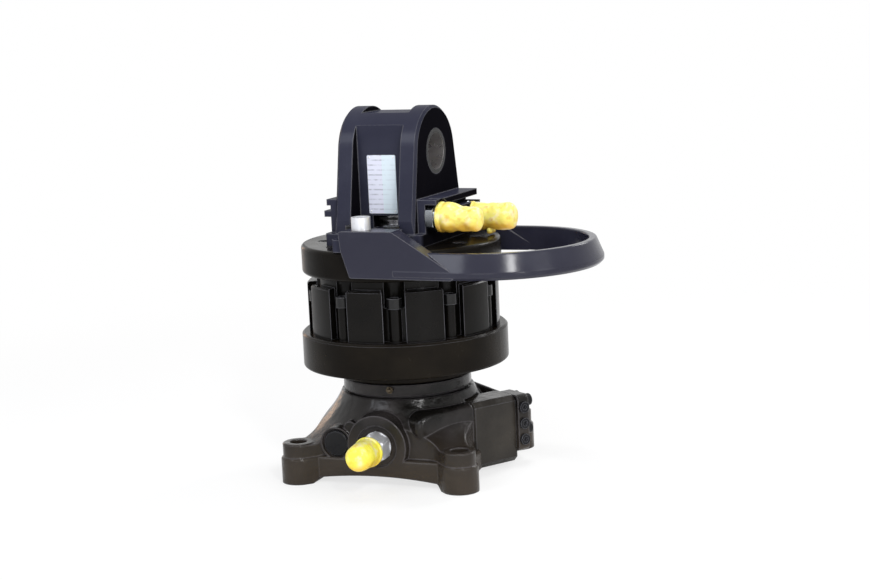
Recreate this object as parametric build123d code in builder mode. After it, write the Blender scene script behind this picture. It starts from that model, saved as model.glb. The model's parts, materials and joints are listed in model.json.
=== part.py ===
from build123d import *
import math
import os

# Hydraulic rotator with a lug hanger on top, a vane motor in the middle and a flange with four feet.
# Millimetres. +Z runs up the axis of rotation, and Z = 0 is the plane under the four feet.
# +X is the side of the hose ports and the hose guard, and -Y is the front.

os.makedirs("parts", exist_ok=True)

# Fits and small gaps
running_gap = 0.05
part_gap = 0.3
casting_gap = 1.0

# Lower head, the casting that turns. It stands a little round from the hanger, as it was left
head_turn = 3.5
bolt_pitch = 166.0
foot_r = 17.5
foot_boss_r = 15.5
foot_h = 39.0
foot_round = 1.5
foot_hole_r = 8.5
base_h = 26.0
base_side = 86.0
base_round = 3.0
bell_side = 78.0
head_top_z = 93.0
head_neck_r = 63.0
head_neck_h = 11.0
neck_groove_r = 59.0
neck_groove_h = 2.0
nipple_turn = 6.5
nipple_r = 3.6
nipple_drop = 4.0
bell_top_r = 65.0
bell_mid_r = 77.0
bell_mid_z = 61.0
bell_foot_r = 106.0
arch_h = 9.5
arch_lip = 5.5
arch_lead = 6.0
arch_span = 132.0
corner_blend_r = 22.0
cavity_r = 34.0
cavity_h = 58.0

# Round pads for the grapple hoses, front and rear
port_z = 38.5
port_pad_r = 30.0
port_pad_draft = 6.0
port_spot_r = 20.0
port_spot = 3.0
passage_r = 5.0
passage_y = 40.0

# Plugged gallery beside each pad
gallery_x = 43.0
gallery_z = 39.0
gallery_boss_r = 16.0
gallery_face = 84.0
gallery_seat_r = 14.5
gallery_sink = 4.0
gallery_plug_r = 12.5
gallery_plug_h = 3.5
nub_x = 29.0
nub_z = 54.0
nub_r = 6.5

# Check valve on the right-hand side, measured along its own slanted face
valve_angle = 56.5
valve_face = 82.0
valve_back = 50.0
valve_start = -46.0
valve_joint = 20.0
valve_length = 50.0
valve_cover_t = 13.0
valve_bottom = 4.0
valve_top = 70.0
shoulder_bottom = 28.0
shoulder_rise = 12.0
joint_bevel = 1.5
shoulder_round = 7.0
shoulder_root = 16.0
valve_cover_out = 86.0
valve_cover_bottom = 14.0
valve_screw_r = 4.0
valve_screw_low = 34.0
valve_screw_high = 62.0
valve_screw_in = 58.0
valve_screw_out = 76.0
valve_plug_r = 5.5
valve_plug_pitch = 16.0
cartridge_r = 8.0
cartridge_z = 48.5
cartridge_l = 40.0

# Shaft and swivel
shaft_r = 32.0
flange_w = 16.0
flange_t = 11.0
swivel_r = 22.0
swivel_groove_d = 3.0
swivel_groove_h = 4.0
swivel_hole_r = 1.5
seal_h = 2.5
drilling_r = 3.5
drilling_y = 13.0
head_screw_r = 6.0
head_screw_count = 6
head_screw_pcd = 48.0

# Lower cover
cover_gap = 2.0
collar_r = 67.0
collar_h = 11.0
lower_ring_out = 7.5
lower_ring_h = 34.0
lower_ring_bevel = 2.0
bush_wall = 6.0
lip_seal_w = 8.0
lip_seal_h = 8.0
oring_wire = 3.0
oring_land = 1.6

# Stator
stator_r = 93.5
stator_neck_in = 9.5
stator_h = 58.0
stator_step = 49.0
cam_r = 59.5
cam_lift = 6.0
cam_lobes = 6
pillar_count = 10
pillar_start = -106.0
pillar_in = 8.0
pillar_r = 6.0
pillar_h = 32.0
pillar_groove = 7.0
pillar_head_gap = 2.5
stator_bevel = 1.5
long_screw_r = 5.0
screw_bite = 26.0
cover_screw_bite = 12.0
hanger_screw_bite = 22.0

# Rotor and vanes
vane_count = 8
vane_t = 5.0
vane_depth = 15.0
spline_count = 16
spline_depth = 2.0

# Upper cover and the thrust bearing inside it
upper_ring_out = 4.0
upper_ring_h = 28.0
bearing_pocket_gap = 2.0
bearing_pocket_h = 20.0
race_t = 2.5
race_w = 16.0
roller_r = 2.5
roller_l = 10.0
roller_count = 18
nut_w = 13.0
nut_t = 8.5
cover_screw_r = 4.0
cover_screw_sink = 8.5
cover_screw_pcd_r = 75.0

# Hanger bracket
lug_width = 84.0
ear_t = 17.0
ear_r = 44.0
ear_foot = 56.0
ear_foot_rise = 24.0
ear_bevel = 2.5
web_r = 34.0
web_crown = 38.5
web_corner = 9.0
web_foot_rise = 27.0
web_back = 29.0
web_pocket_w = 28.0
web_pocket_low = 14.0
web_pocket_depth = 20.0
block_out = 8.0
block_half_y = 48.0
block_h = 44.0
bore_rise = 41.5
bore_r = 17.5
lug_bush_wall = 4.0
lug_bush_l = 36.0
plinth_out = 3.0
plinth_half_y = 58.0
plinth_t = 12.0
pad_left = -26.0
pad_right = 40.0
pad_set = 6.0
fin_left = 7.0
fin_right = 15.0
fin_step = 3.0
fin_t = 6.0
fin_gap = 5.0
pad_screw_x = 24.0
pad_screw_pitch = 40.0
pad_screw_y = 68.0
hanger_screw_r = 5.0

# Rating plate on the web, left bare
plate_w = 30.0
plate_h = 56.0
plate_t = 0.8
plate_drop = 28.5
plate_corner = 1.5

# Hose guard
guard_out = 5.5
guard_centre_x = 100.0
guard_wide = 14.0
guard_narrow = 7.0
guard_drop = 23.0
guard_h = 24.0
guard_ridge = 7.0
cheek_t = 9.0
cheek_set = 0.5
cheek_depth = 22.0
cheek_thin = 18.0
cheek_left = -15.0
cheek_right = 40.0
cheek_end = 100.0
guard_bolt_x = 3.0
guard_bolt_in = 14.0
guard_bolt_r = 6.0

# Hose adapters and their plastic caps
adapter_af = 27.0
adapter_thread_r = 10.2
adapter_thread_l = 15.0
adapter_stud_l = 12.0
adapter_bore_r = 5.5
upper_hex_t = 8.0
lower_hex_t = 29.0
cap_wall_r = 13.0
cap_lip_r = 14.5
cap_bore_r = 10.6
cap_bore_l = 17.0
front_cap_l = 41.5
rear_cap_l = 46.5
lower_cap_l = 24.5
upper_waist = 0.7
lower_waist = -0.6
tab_w = 14.0
tab_t = 4.5
tab_out = 17.0
upper_port_y = 36.0
front_port_rise = 26.5
rear_port_rise = 18.0
turn_port_y = 26.0
turn_port_rise = 21.0
turn_plug_r = 11.0

# Heights of the stack, from the feet to the top of the ears
collar_z = head_top_z + cover_gap
lower_ring_z = collar_z + collar_h
stator_z = lower_ring_z + lower_ring_h
step_z = stator_z + stator_step
upper_ring_z = stator_z + stator_h
deck_z = upper_ring_z + upper_ring_h
plinth_z = deck_z + plinth_t
block_top_z = deck_z + block_h
bore_z = block_top_z + bore_rise
pocket_z = deck_z - bearing_pocket_h
flange_z = head_top_z - flange_t
shelf_z = plinth_z + cheek_t
ear_foot_z = deck_z + ear_foot_rise
web_foot_z = deck_z + web_foot_rise
pillar_top_z = stator_z + pillar_h
nipple_z = head_top_z - nipple_drop
guard_bottom = deck_z - guard_drop
front_port_z = deck_z + front_port_rise
rear_port_z = deck_z + rear_port_rise
turn_port_z = deck_z + turn_port_rise

# Reaches that follow from other sizes
foot_reach = bolt_pitch / math.sqrt(2)
flange_r = shaft_r + flange_w
race_r = shaft_r + race_w
nut_r = shaft_r + nut_w
bearing_pocket_r = race_r + bearing_pocket_gap
stator_neck_r = stator_r - stator_neck_in
pillar_pcd_r = stator_r - pillar_in
lower_ring_r = stator_r + lower_ring_out
upper_ring_r = stator_r + upper_ring_out
guard_half = upper_ring_r + guard_out
pad_reach = guard_half - pad_set
guard_bolt_y = guard_half - guard_bolt_in
block_half_x = lug_width / 2 + block_out
plinth_left = block_half_x + plinth_out


def upright(turn):
    """Upright plane through the axis, facing the front and turned about +Z: x lies level and y is up."""
    across = Vector(math.cos(math.radians(turn)), math.sin(math.radians(turn)), 0)
    return Plane(origin=(0, 0, 0), x_dir=across, z_dir=Vector(across.Y, -across.X, 0))


def axial_plane(origin, direction):
    """Plane through a level axis: x runs along the axis and y is up."""
    ahead = Vector(*direction)
    return Plane(origin=origin, x_dir=ahead, z_dir=Vector(ahead.Y, -ahead.X, 0))


def ring_profile(inner, outer, bottom, top):
    """Section of a plain ring, for turning about +Z on the XZ plane."""
    with Locations(((inner + outer) / 2, (bottom + top) / 2)):
        Rectangle(outer - inner, top - bottom)


def around(radius, count, start):
    """Spots evenly spaced on a circle, the first at the start angle in degrees."""
    turns = [math.radians(start + 360 * k / count) for k in range(count)]
    return [(radius * math.cos(turn), radius * math.sin(turn)) for turn in turns]


def socket_screws(plane, spots, shank_r, shank_l):
    """Socket head screws: the heads stand on the plane and the shanks run down from it."""
    head_r = 1.5 * shank_r
    head_h = 2 * shank_r
    with BuildPart() as group:
        with BuildSketch(plane):
            with Locations(*spots):
                Circle(shank_r)
        extrude(amount=-shank_l)
        with BuildSketch(plane):
            with Locations(*spots):
                Circle(head_r)
        extrude(amount=head_h)
        with BuildSketch(plane.offset(head_h)):
            with Locations(*spots):
                RegularPolygon(0.95 * shank_r, 6)
        extrude(amount=-shank_r, mode=Mode.SUBTRACT)
    return group.part


def hose_adapter(origin, direction, hex_t):
    """Steel adapter: stud in the port, hexagon, collar and hose thread, bored right through."""
    along = axial_plane(origin, direction)
    axis = Axis(origin, direction)
    hex_r = adapter_af / math.sqrt(3)
    tip = hex_t + 1.5 + adapter_thread_l
    with BuildPart() as adapter:
        with BuildSketch(Plane(origin=origin, x_dir=(0, 0, 1), z_dir=direction)):
            RegularPolygon(hex_r, 6)
        extrude(amount=hex_t)
        with BuildSketch(along):
            with BuildLine():
                Polyline((0, 0), (0, hex_r - 1.6), (1, hex_r), (hex_t - 1, hex_r),
                         (hex_t, hex_r - 1.6), (hex_t, 0), (0, 0))
            make_face()
        revolve(axis=axis, mode=Mode.INTERSECT)
        with BuildSketch(along):
            with BuildLine():
                Polyline((-adapter_stud_l, adapter_bore_r), (-adapter_stud_l, adapter_thread_r - 1),
                         (1 - adapter_stud_l, adapter_thread_r), (0, adapter_thread_r),
                         (hex_t - 1, adapter_thread_r), (hex_t - 1, adapter_thread_r + 1.8),
                         (hex_t + 1.5, adapter_thread_r + 1.8), (hex_t + 1.5, adapter_thread_r - 0.8),
                         (hex_t + 3, adapter_thread_r - 0.8), (hex_t + 3, adapter_thread_r),
                         (tip - 1, adapter_thread_r), (tip, adapter_thread_r - 1),
                         (tip, adapter_bore_r), (-adapter_stud_l, adapter_bore_r))
            make_face()
        revolve(axis=axis)
        with BuildSketch(Plane(origin=origin, x_dir=(0, 0, 1), z_dir=direction)):
            Circle(adapter_bore_r)
        extrude(amount=hex_t, mode=Mode.SUBTRACT)
    return adapter.part


def thread_cap(origin, direction, length, waist, tabbed):
    """Plastic cap over a hose thread: lip, waist, swollen grip and domed end, with a pull tab if asked."""
    along = axial_plane(origin, direction)
    axis = Axis(origin, direction)
    neck_r = cap_wall_r - waist
    with BuildPart() as cap:
        with BuildSketch(along):
            with BuildLine():
                Polyline((0, cap_bore_r), (0, cap_lip_r - 0.6), (0.6, cap_lip_r), (4, cap_lip_r),
                         (5.5, neck_r + 0.4), (0.42 * length, neck_r))
                Spline((0.42 * length, neck_r), (0.68 * length, cap_lip_r - 0.4),
                       (0.92 * length, cap_wall_r - 1.5), (length, 0), tangents=((1, 0), (0, -1)))
                Polyline((length, 0), (cap_bore_l, 0), (cap_bore_l, cap_bore_r), (0, cap_bore_r))
            make_face()
        revolve(axis=axis)
        if tabbed:
            with BuildSketch(along.offset(-tab_w / 2)):
                with Locations((0.45 * length, -(tab_out + cap_wall_r - 3) / 2)):
                    Rectangle(tab_t, tab_out - cap_wall_r + 3)
            extrude(amount=tab_w)
    return cap.part


def foot_plan(side, arm_r):
    """Outline of the head seen from above: a square with an arm to each foot, blended where they meet."""
    with BuildSketch() as plan:
        Rectangle(2 * side, 2 * side)
        with PolarLocations(0, 4, start_angle=45):
            with Locations((foot_reach / 2, 0)):
                SlotCenterToCenter(foot_reach, 2 * arm_r)
        inner = plan.vertices().filter_by(lambda v: math.hypot(v.X, v.Y) < foot_reach - arm_r)
        fillet(inner, corner_blend_r)
    return plan.sketch


def save(part, name):
    """Labels a finished piece and writes it to its own file."""
    part.label = name
    export_step(part, f"parts/{name}.step")


def save_on_head(part, name):
    """Saves a piece that turns with the lower head, stood round as the head is."""
    save(part.rotate(Axis.Z, head_turn), name)


# The valve lies along a slanted face: valve_end looks along it, with x inwards and y up
valve_plane = upright(valve_angle)
valve_dir = valve_plane.x_dir
valve_out = valve_plane.z_dir
valve_end = Plane(origin=(0, 0, 0), x_dir=-valve_out, z_dir=valve_dir)
valve_mid = (valve_face + valve_back) / 2
grapple_ports = ((-upper_port_y, front_port_z), (upper_port_y, rear_port_z))

# Spots shared by each group of screws and its holes
head_screw_spots = around(head_screw_pcd / 2, head_screw_count, 0)
pillar_spots = around(pillar_pcd_r, pillar_count, pillar_start)
cover_screw_spots = around(cover_screw_pcd_r, pillar_count, pillar_start + 180 / pillar_count)
valve_spots = [(-d, z) for d in (valve_screw_in, valve_screw_out)
               for z in (valve_screw_low, valve_screw_high)]

hanger_screw_spots = [(x, side * pad_screw_y) for side in (-1, 1)
                      for x in (pad_screw_x, pad_screw_x - pad_screw_pitch)]
guard_bolt_spots = [(guard_bolt_x, -guard_bolt_y), (guard_bolt_x, guard_bolt_y)]

# Radii that several pieces share
bush_bore_r = shaft_r + bush_wall
seal_bore_r = shaft_r + lip_seal_w
oring_r = cam_r + cam_lift + oring_land + oring_wire / 2
rotor_r = cam_r - 2 * part_gap

# Shoulder of the lower head that carries the check valve, rounded as it was cast
with BuildPart() as valve_shoulder:
    with BuildSketch(valve_plane.offset(valve_back - shoulder_root)):
        with BuildLine():
            Polyline((valve_start + 6, shoulder_bottom + shoulder_rise), (valve_joint, shoulder_bottom),
                     (valve_joint, valve_top), (valve_start + 16, valve_top))
            ThreePointArc((valve_start + 16, valve_top), (valve_start + 4, valve_top - 6),
                          (valve_start, valve_top - 18))
            Line((valve_start, valve_top - 18), (valve_start + 6, shoulder_bottom + shoulder_rise))
        make_face()
    extrude(amount=valve_face - valve_back + shoulder_root)
    outer_edges = valve_shoulder.faces().sort_by(Axis((0, 0, 0), valve_out))[-1].edges()
    fillet(outer_edges.filter_by(lambda e: e.center().dot(valve_dir) < valve_joint - 1), shoulder_round)
    joint_edges = valve_shoulder.edges().filter_by(
        lambda e: abs(e.center().dot(valve_dir) - valve_joint) < 0.01
        and e.center().dot(valve_out) > valve_back)
    chamfer(joint_edges, joint_bevel)

# Plate under the head, with its rounded rim, and the boss of each foot
with BuildPart() as head_base:
    with BuildSketch():
        add(foot_plan(base_side, foot_r))
    extrude(amount=base_h)
    fillet(head_base.edges().group_by(Axis.Z)[-1], base_round)

with BuildPart() as foot_bosses:
    with BuildSketch():
        with GridLocations(bolt_pitch, bolt_pitch, 2, 2):
            Circle(foot_boss_r)
    extrude(amount=foot_h)
    fillet(foot_bosses.edges().group_by(Axis.Z)[-1], foot_round)

# Bell from the neck down to the feet
with BuildPart() as bell:
    with BuildSketch(Plane.XZ):
        with BuildLine():
            bell_top = head_top_z - head_neck_h - neck_groove_h
            Polyline((bell_foot_r, foot_h - 1), (bell_foot_r + foot_r * 2, foot_h - 1),
                     (bell_foot_r + foot_r * 2, 0), (0, 0), (0, head_top_z), (head_neck_r, head_top_z),
                     (head_neck_r, head_top_z - head_neck_h), (neck_groove_r, head_top_z - head_neck_h),
                     (neck_groove_r, bell_top), (bell_top_r, bell_top))
            ThreePointArc((bell_top_r, bell_top), (bell_mid_r, bell_mid_z), (bell_foot_r, foot_h - 1))
        make_face()
    revolve(axis=Axis.Z)
    with BuildSketch():
        add(foot_plan(bell_side, foot_boss_r))
    extrude(amount=head_top_z, mode=Mode.INTERSECT)

# Lower head: bell, plate and feet, port pads, gallery bosses and the valve shoulder
with BuildPart() as lower_head:
    add(bell.part)
    add(head_base.part)
    add(foot_bosses.part)
    # Taller gusset towards the foot behind the valve
    with BuildSketch(upright(45)):
        Polygon((cavity_r + 8, foot_h), (cavity_r + 8, bell_top), (neck_groove_r, bell_top),
                (bell_foot_r, foot_h + 18), (bell_foot_r, foot_h - 8), align=None)
    extrude(amount=foot_boss_r - 2, both=True)
    # Pads for the grapple hoses, front and rear
    for turn in (0, 180):
        face = upright(turn)
        with BuildSketch(face.offset(base_side)):
            with Locations((0, port_z)):
                Circle(port_pad_r)
        extrude(amount=cavity_r + 8 - base_side, taper=-port_pad_draft)
        with BuildSketch(face.offset(cavity_r + 8)):
            with Locations((-gallery_x, gallery_z)):
                Circle(gallery_boss_r)
        extrude(amount=gallery_face - cavity_r - 8)
        with BuildSketch(face.offset(cavity_r + 8)):
            with Locations((-nub_x, nub_z)):
                Circle(nub_r)
        extrude(amount=gallery_face - gallery_sink - cavity_r - 8)
    add(valve_shoulder.part)
    # Notch that the valve block sits in
    with BuildSketch(valve_plane.offset(valve_back)):
        with Locations((valve_joint, -1)):
            Rectangle(valve_length + valve_cover_t + 26, valve_top + 3, align=(Align.MIN, Align.MIN))
    extrude(amount=80, mode=Mode.SUBTRACT)
    # Arches between the feet
    for turn in (0, 90):
        with BuildSketch(upright(turn)):
            with BuildLine():
                half = arch_span / 2
                Line((-half, 0), (arch_lead - half, arch_lip))
                ThreePointArc((arch_lead - half, arch_lip), (0, arch_h), (half - arch_lead, arch_lip))
                Polyline((half - arch_lead, arch_lip), (half, 0), (half, -1), (-half, -1), (-half, 0))
            make_face()
        extrude(amount=2 * base_side, both=True, mode=Mode.SUBTRACT)
    # Spot face on each pad, with the passage up to the shaft flange
    for turn in (0, 180):
        face = upright(turn)
        with BuildSketch(face.offset(base_side)):
            with Locations((0, port_z)):
                Circle(port_spot_r)
        extrude(amount=-port_spot, mode=Mode.SUBTRACT)
        with BuildSketch(face.offset(base_side - port_spot)):
            with Locations((0, port_z)):
                Circle(adapter_thread_r)
        extrude(amount=-adapter_stud_l, mode=Mode.SUBTRACT)
        with BuildSketch(face.offset(base_side - port_spot)):
            with Locations((0, port_z)):
                Circle(passage_r)
        extrude(amount=passage_y - base_side + port_spot, mode=Mode.SUBTRACT)
        with BuildSketch(Plane.XY.offset(port_z).rotated((0, 0, turn))):
            with Locations((0, -passage_y)):
                Circle(passage_r)
        extrude(amount=head_top_z - port_z, mode=Mode.SUBTRACT)
        with BuildSketch(face.offset(gallery_face)):
            with Locations((-gallery_x, gallery_z)):
                Circle(gallery_seat_r)
        extrude(amount=-gallery_sink, mode=Mode.SUBTRACT)
        with BuildSketch(face.offset(gallery_face - gallery_sink)):
            with Locations((-gallery_x, gallery_z)):
                Circle(gallery_plug_r - 3)
        extrude(amount=-10, mode=Mode.SUBTRACT)
    # Hollow under the head, seat of the shaft flange and its screw holes
    with BuildSketch():
        Circle(cavity_r)
    extrude(amount=cavity_h, mode=Mode.SUBTRACT)
    with BuildSketch(Plane.XY.offset(flange_z)):
        Circle(flange_r + part_gap)
    extrude(amount=flange_t, mode=Mode.SUBTRACT)
    with BuildSketch(Plane.XY.offset(cavity_h)):
        with Locations(*head_screw_spots):
            Circle(head_screw_r)
    extrude(amount=flange_z - cavity_h, mode=Mode.SUBTRACT)
    # Seat of the grease nipple
    with BuildSketch(upright(nipple_turn).offset(head_neck_r - 1)):
        with Locations((0, nipple_z)):
            Circle(nipple_r)
    extrude(amount=3, mode=Mode.SUBTRACT)
    # Bolt holes in the four feet
    with BuildSketch():
        with GridLocations(bolt_pitch, bolt_pitch, 2, 2):
            Circle(foot_hole_r)
    extrude(amount=head_top_z, mode=Mode.SUBTRACT)
save_on_head(lower_head.part, "lower_head")

# Plugs that close the two galleries
with BuildPart() as gallery_plugs:
    for turn in (0, 180):
        plug_seat = upright(turn).offset(gallery_face - gallery_sink)
        with BuildSketch(plug_seat):
            with Locations((-gallery_x, gallery_z)):
                Circle(gallery_plug_r)
        extrude(amount=gallery_plug_h)
        with BuildSketch(plug_seat):
            with Locations((-gallery_x, gallery_z)):
                Circle(gallery_plug_r - 3)
        extrude(amount=-10)
    chamfer(gallery_plugs.edges().filter_by(GeomType.CIRCLE).filter_by(
        lambda e: abs(abs(e.center().Y) - gallery_face + gallery_sink - gallery_plug_h) < 0.01), 1)
save_on_head(gallery_plugs.part, "gallery_plugs")

# Valve block, bored for its cartridge
with BuildPart() as valve_block:
    with BuildSketch(valve_plane.offset(valve_back)):
        with Locations((valve_joint, valve_bottom)):
            Rectangle(valve_length, valve_top - valve_bottom, align=(Align.MIN, Align.MIN))
    extrude(amount=valve_face - valve_back)
    long_edges = valve_block.edges().filter_by(
        lambda e: e.center().dot(valve_out) > valve_face - 0.01
        and abs(e.center().dot(valve_dir) - valve_joint - valve_length / 2) < 0.01)
    chamfer(long_edges, 5)
    joint_edges = valve_block.edges().filter_by(
        lambda e: abs(e.center().dot(valve_dir) - valve_joint) < 0.01
        and e.center().dot(valve_out) > valve_back + 0.01)
    chamfer(joint_edges, joint_bevel)
    with BuildSketch(valve_end.offset(valve_joint + valve_length)):
        with Locations((-valve_mid, cartridge_z)):
            Circle(cartridge_r)
    extrude(amount=-cartridge_l, mode=Mode.SUBTRACT)
    with BuildSketch(valve_end.offset(valve_joint)):
        with Locations(*valve_spots):
            Circle(valve_screw_r)
    extrude(amount=valve_length, mode=Mode.SUBTRACT)
save_on_head(valve_block.part, "valve_block")

# Cartridge inside the valve block, with its poppet
with BuildPart() as valve_cartridge:
    with BuildSketch(valve_end.offset(valve_joint + valve_length - cartridge_l)):
        with Locations((-valve_mid, cartridge_z)):
            Circle(cartridge_r)
            Circle(cartridge_r - 3, mode=Mode.SUBTRACT)
    extrude(amount=cartridge_l)
save_on_head(valve_cartridge.part, "valve_cartridge")

with BuildPart() as valve_poppet:
    with BuildSketch(valve_end.offset(valve_joint + valve_length - cartridge_l)):
        with Locations((-valve_mid, cartridge_z)):
            Circle(cartridge_r - 3)
    extrude(amount=cartridge_l / 2)
    chamfer(valve_poppet.edges().group_by(Axis((0, 0, 0), valve_dir))[0], 3)
save_on_head(valve_poppet.part, "valve_poppet")

# End cover of the valve, with a row of plugs on its outer edge
with BuildPart() as valve_cover:
    with BuildSketch(valve_end.offset(valve_joint + valve_length)):
        with Locations((-valve_cover_out, valve_cover_bottom)):
            Rectangle(valve_cover_out - valve_back - 1, valve_top - valve_cover_bottom,
                      align=(Align.MIN, Align.MIN))
    extrude(amount=valve_cover_t)
    fillet(valve_cover.edges().filter_by(Axis((0, 0, 0), valve_dir)), 6)
    with BuildSketch(valve_end.offset(valve_joint + valve_length)):
        with Locations(*valve_spots):
            Circle(valve_screw_r)
    extrude(amount=valve_cover_t, mode=Mode.SUBTRACT)
save_on_head(valve_cover.part, "valve_cover")

plug_s = valve_joint + valve_length + valve_cover_t / 2
plug_zs = [(valve_top + valve_cover_bottom) / 2 + k * valve_plug_pitch for k in (-1, 0, 1)]
with BuildPart() as valve_plugs:
    with BuildSketch(valve_plane.offset(valve_cover_out)):
        with Locations(*[(plug_s, z) for z in plug_zs]):
            Circle(valve_plug_r)
            RegularPolygon(2.9, 6, mode=Mode.SUBTRACT)
    extrude(amount=2.5)
    with BuildSketch(valve_plane.offset(valve_cover_out)):
        with Locations(*[(plug_s, z) for z in plug_zs]):
            Circle(valve_plug_r)
    extrude(amount=0.5)
save_on_head(valve_plugs.part, "valve_plugs")

# Four long screws clamp cover and block to the shoulder
with BuildPart() as valve_screws:
    add(socket_screws(valve_end.offset(valve_joint + valve_length + valve_cover_t), valve_spots,
                      valve_screw_r, valve_cover_t + valve_length))
save_on_head(valve_screws.part, "valve_screws")

# Shaft: flange in the head, journal, splined seat, thread for the nut, swivel spigot
swivel_top = front_port_z + swivel_groove_h / 2 + 2 * seal_h + 2
seal_zs = (rear_port_z - swivel_groove_h / 2 - seal_h, (front_port_z + rear_port_z) / 2,
           front_port_z + swivel_groove_h / 2 + seal_h)
with BuildPart() as shaft:
    with BuildSketch(Plane.XZ):
        with BuildLine():
            Polyline((0, flange_z), (flange_r, flange_z), (flange_r, head_top_z),
                     (shaft_r, head_top_z), (shaft_r, deck_z - 1.5), (swivel_r, deck_z - 1.5),
                     (swivel_r, swivel_top - 1.5), (swivel_r - 1.5, swivel_top), (0, swivel_top),
                     (0, flange_z))
        make_face()
    revolve(axis=Axis.Z)
    with BuildSketch(Plane.XZ):
        for z in (rear_port_z, front_port_z):
            ring_profile(swivel_r - swivel_groove_d, swivel_r + 1, z - swivel_groove_h / 2,
                         z + swivel_groove_h / 2)
        for z in seal_zs:
            ring_profile(swivel_r - 2, swivel_r + 1, z - seal_h / 2, z + seal_h / 2)
    revolve(axis=Axis.Z, mode=Mode.SUBTRACT)
    # Splines for the rotor
    with BuildSketch(Plane.XY.offset(stator_z)):
        with PolarLocations(shaft_r, spline_count):
            Rectangle(2 * spline_depth, 4)
    extrude(amount=stator_h, mode=Mode.SUBTRACT)
    # Two drillings carry the grapple oil from the grooves down to the flange
    for turn, height in ((0, front_port_z), (180, rear_port_z)):
        with BuildSketch(Plane.XY.offset(flange_z + 3).rotated((0, 0, turn))):
            with Locations((0, -drilling_y)):
                Circle(drilling_r)
        extrude(amount=height - flange_z - 3, mode=Mode.SUBTRACT)
        with BuildSketch(upright(turn).offset(drilling_y)):
            with Locations((0, height)):
                Circle(swivel_hole_r)
        extrude(amount=swivel_r - drilling_y, mode=Mode.SUBTRACT)
        with BuildSketch(Plane.XY.offset(flange_z).rotated((0, 0, turn))):
            with Locations((0, -passage_y)):
                Circle(passage_r)
        extrude(amount=6, mode=Mode.SUBTRACT)
        with BuildSketch(upright(turn).offset(passage_y)):
            with Locations((0, flange_z + 5)):
                Circle(drilling_r - 1)
        extrude(amount=drilling_y - passage_y, mode=Mode.SUBTRACT)
    with BuildSketch(Plane.XY.offset(flange_z)):
        with Locations(*head_screw_spots):
            Circle(head_screw_r)
    extrude(amount=flange_t - 1, mode=Mode.SUBTRACT)
save_on_head(shaft.part, "shaft")

# Screws that hold the head on the shaft flange, from below
with BuildPart() as head_screws:
    add(socket_screws(Plane.XY.offset(cavity_h).rotated((180, 0, 0)), head_screw_spots,
                      head_screw_r, flange_z - cavity_h + flange_t - 1))
save_on_head(head_screws.part, "head_screws")

# Rings between head, shaft and lower cover
with BuildPart() as dust_ring:
    with BuildSketch(Plane.XZ):
        with BuildLine():
            Polyline((shaft_r, head_top_z), (flange_r - 4, head_top_z),
                     (flange_r - 4, head_top_z + 0.6), (shaft_r + 5, collar_z - part_gap),
                     (shaft_r, collar_z - part_gap), (shaft_r, head_top_z))
        make_face()
    revolve(axis=Axis.Z)
save_on_head(dust_ring.part, "dust_ring")

with BuildPart() as shaft_seal:
    with BuildSketch(Plane.XZ):
        with BuildLine():
            Polyline((seal_bore_r, collar_z + 0.5), (seal_bore_r, collar_z + 0.5 + lip_seal_h),
                     (seal_bore_r - 2, collar_z + 0.5 + lip_seal_h),
                     (seal_bore_r - 2, collar_z + 2.5), (shaft_r + 3, collar_z + 4),
                     (shaft_r + running_gap, collar_z + 5.5), (shaft_r + running_gap, collar_z + 3.5),
                     (shaft_r + 2, collar_z + 0.5), (seal_bore_r, collar_z + 0.5))
        make_face()
    revolve(axis=Axis.Z)
save(shaft_seal.part, "shaft_seal")

# Lower cover: ring under the stator and the collar round the shaft
with BuildPart() as lower_cover:
    with BuildSketch(Plane.XZ):
        ring_profile(seal_bore_r, collar_r, collar_z, lower_ring_z)
        ring_profile(bush_bore_r, lower_ring_r, lower_ring_z, stator_z)
        ring_profile(shaft_r + 2, seal_bore_r, lower_ring_z - 2, lower_ring_z)
    revolve(axis=Axis.Z)
    rims = lower_cover.edges().filter_by(GeomType.CIRCLE).filter_by(
        lambda e: abs(e.radius - lower_ring_r) < 0.01).sort_by(Axis.Z)
    fillet(rims[0], 2.5)
    chamfer(rims[-1], lower_ring_bevel)
    fillet(lower_cover.edges().filter_by(GeomType.CIRCLE).filter_by(
        lambda e: abs(e.radius - collar_r) < 0.01 and e.center().Z < collar_z + 1), 1.5)
    with BuildSketch(Plane.XZ):
        ring_profile(oring_r - oring_wire / 2, oring_r + oring_wire / 2, stator_z - 2.4, stator_z + 1)
    revolve(axis=Axis.Z, mode=Mode.SUBTRACT)
    with BuildSketch(Plane.XY.offset(stator_z)):
        with Locations(*pillar_spots):
            Circle(long_screw_r)
    extrude(amount=-screw_bite, mode=Mode.SUBTRACT)
save(lower_cover.part, "lower_cover")

# Grease nipple in the neck of the head
with BuildPart() as grease_nipple:
    nipple_face = upright(nipple_turn).offset(head_neck_r - 1)
    with BuildSketch(nipple_face):
        with Locations((0, nipple_z)):
            RegularPolygon(nipple_r, 6)
    extrude(amount=3.5)
    with BuildSketch(nipple_face.offset(3.5)):
        with Locations((0, nipple_z)):
            Circle(nipple_r - 1.4)
    extrude(amount=3)
    chamfer(grease_nipple.faces().sort_by(Axis((0, 0, 0), nipple_face.z_dir))[-1].edges(), 0.8)
save_on_head(grease_nipple.part, "grease_nipple")

# Bronze bushes that guide the shaft in the two covers
with BuildPart() as lower_bush:
    with BuildSketch(Plane.XZ):
        ring_profile(shaft_r + running_gap, bush_bore_r, lower_ring_z, stator_z)
    revolve(axis=Axis.Z)
    chamfer(lower_bush.edges().filter_by(GeomType.CIRCLE), 0.6)
save(lower_bush.part, "lower_bush")

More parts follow.
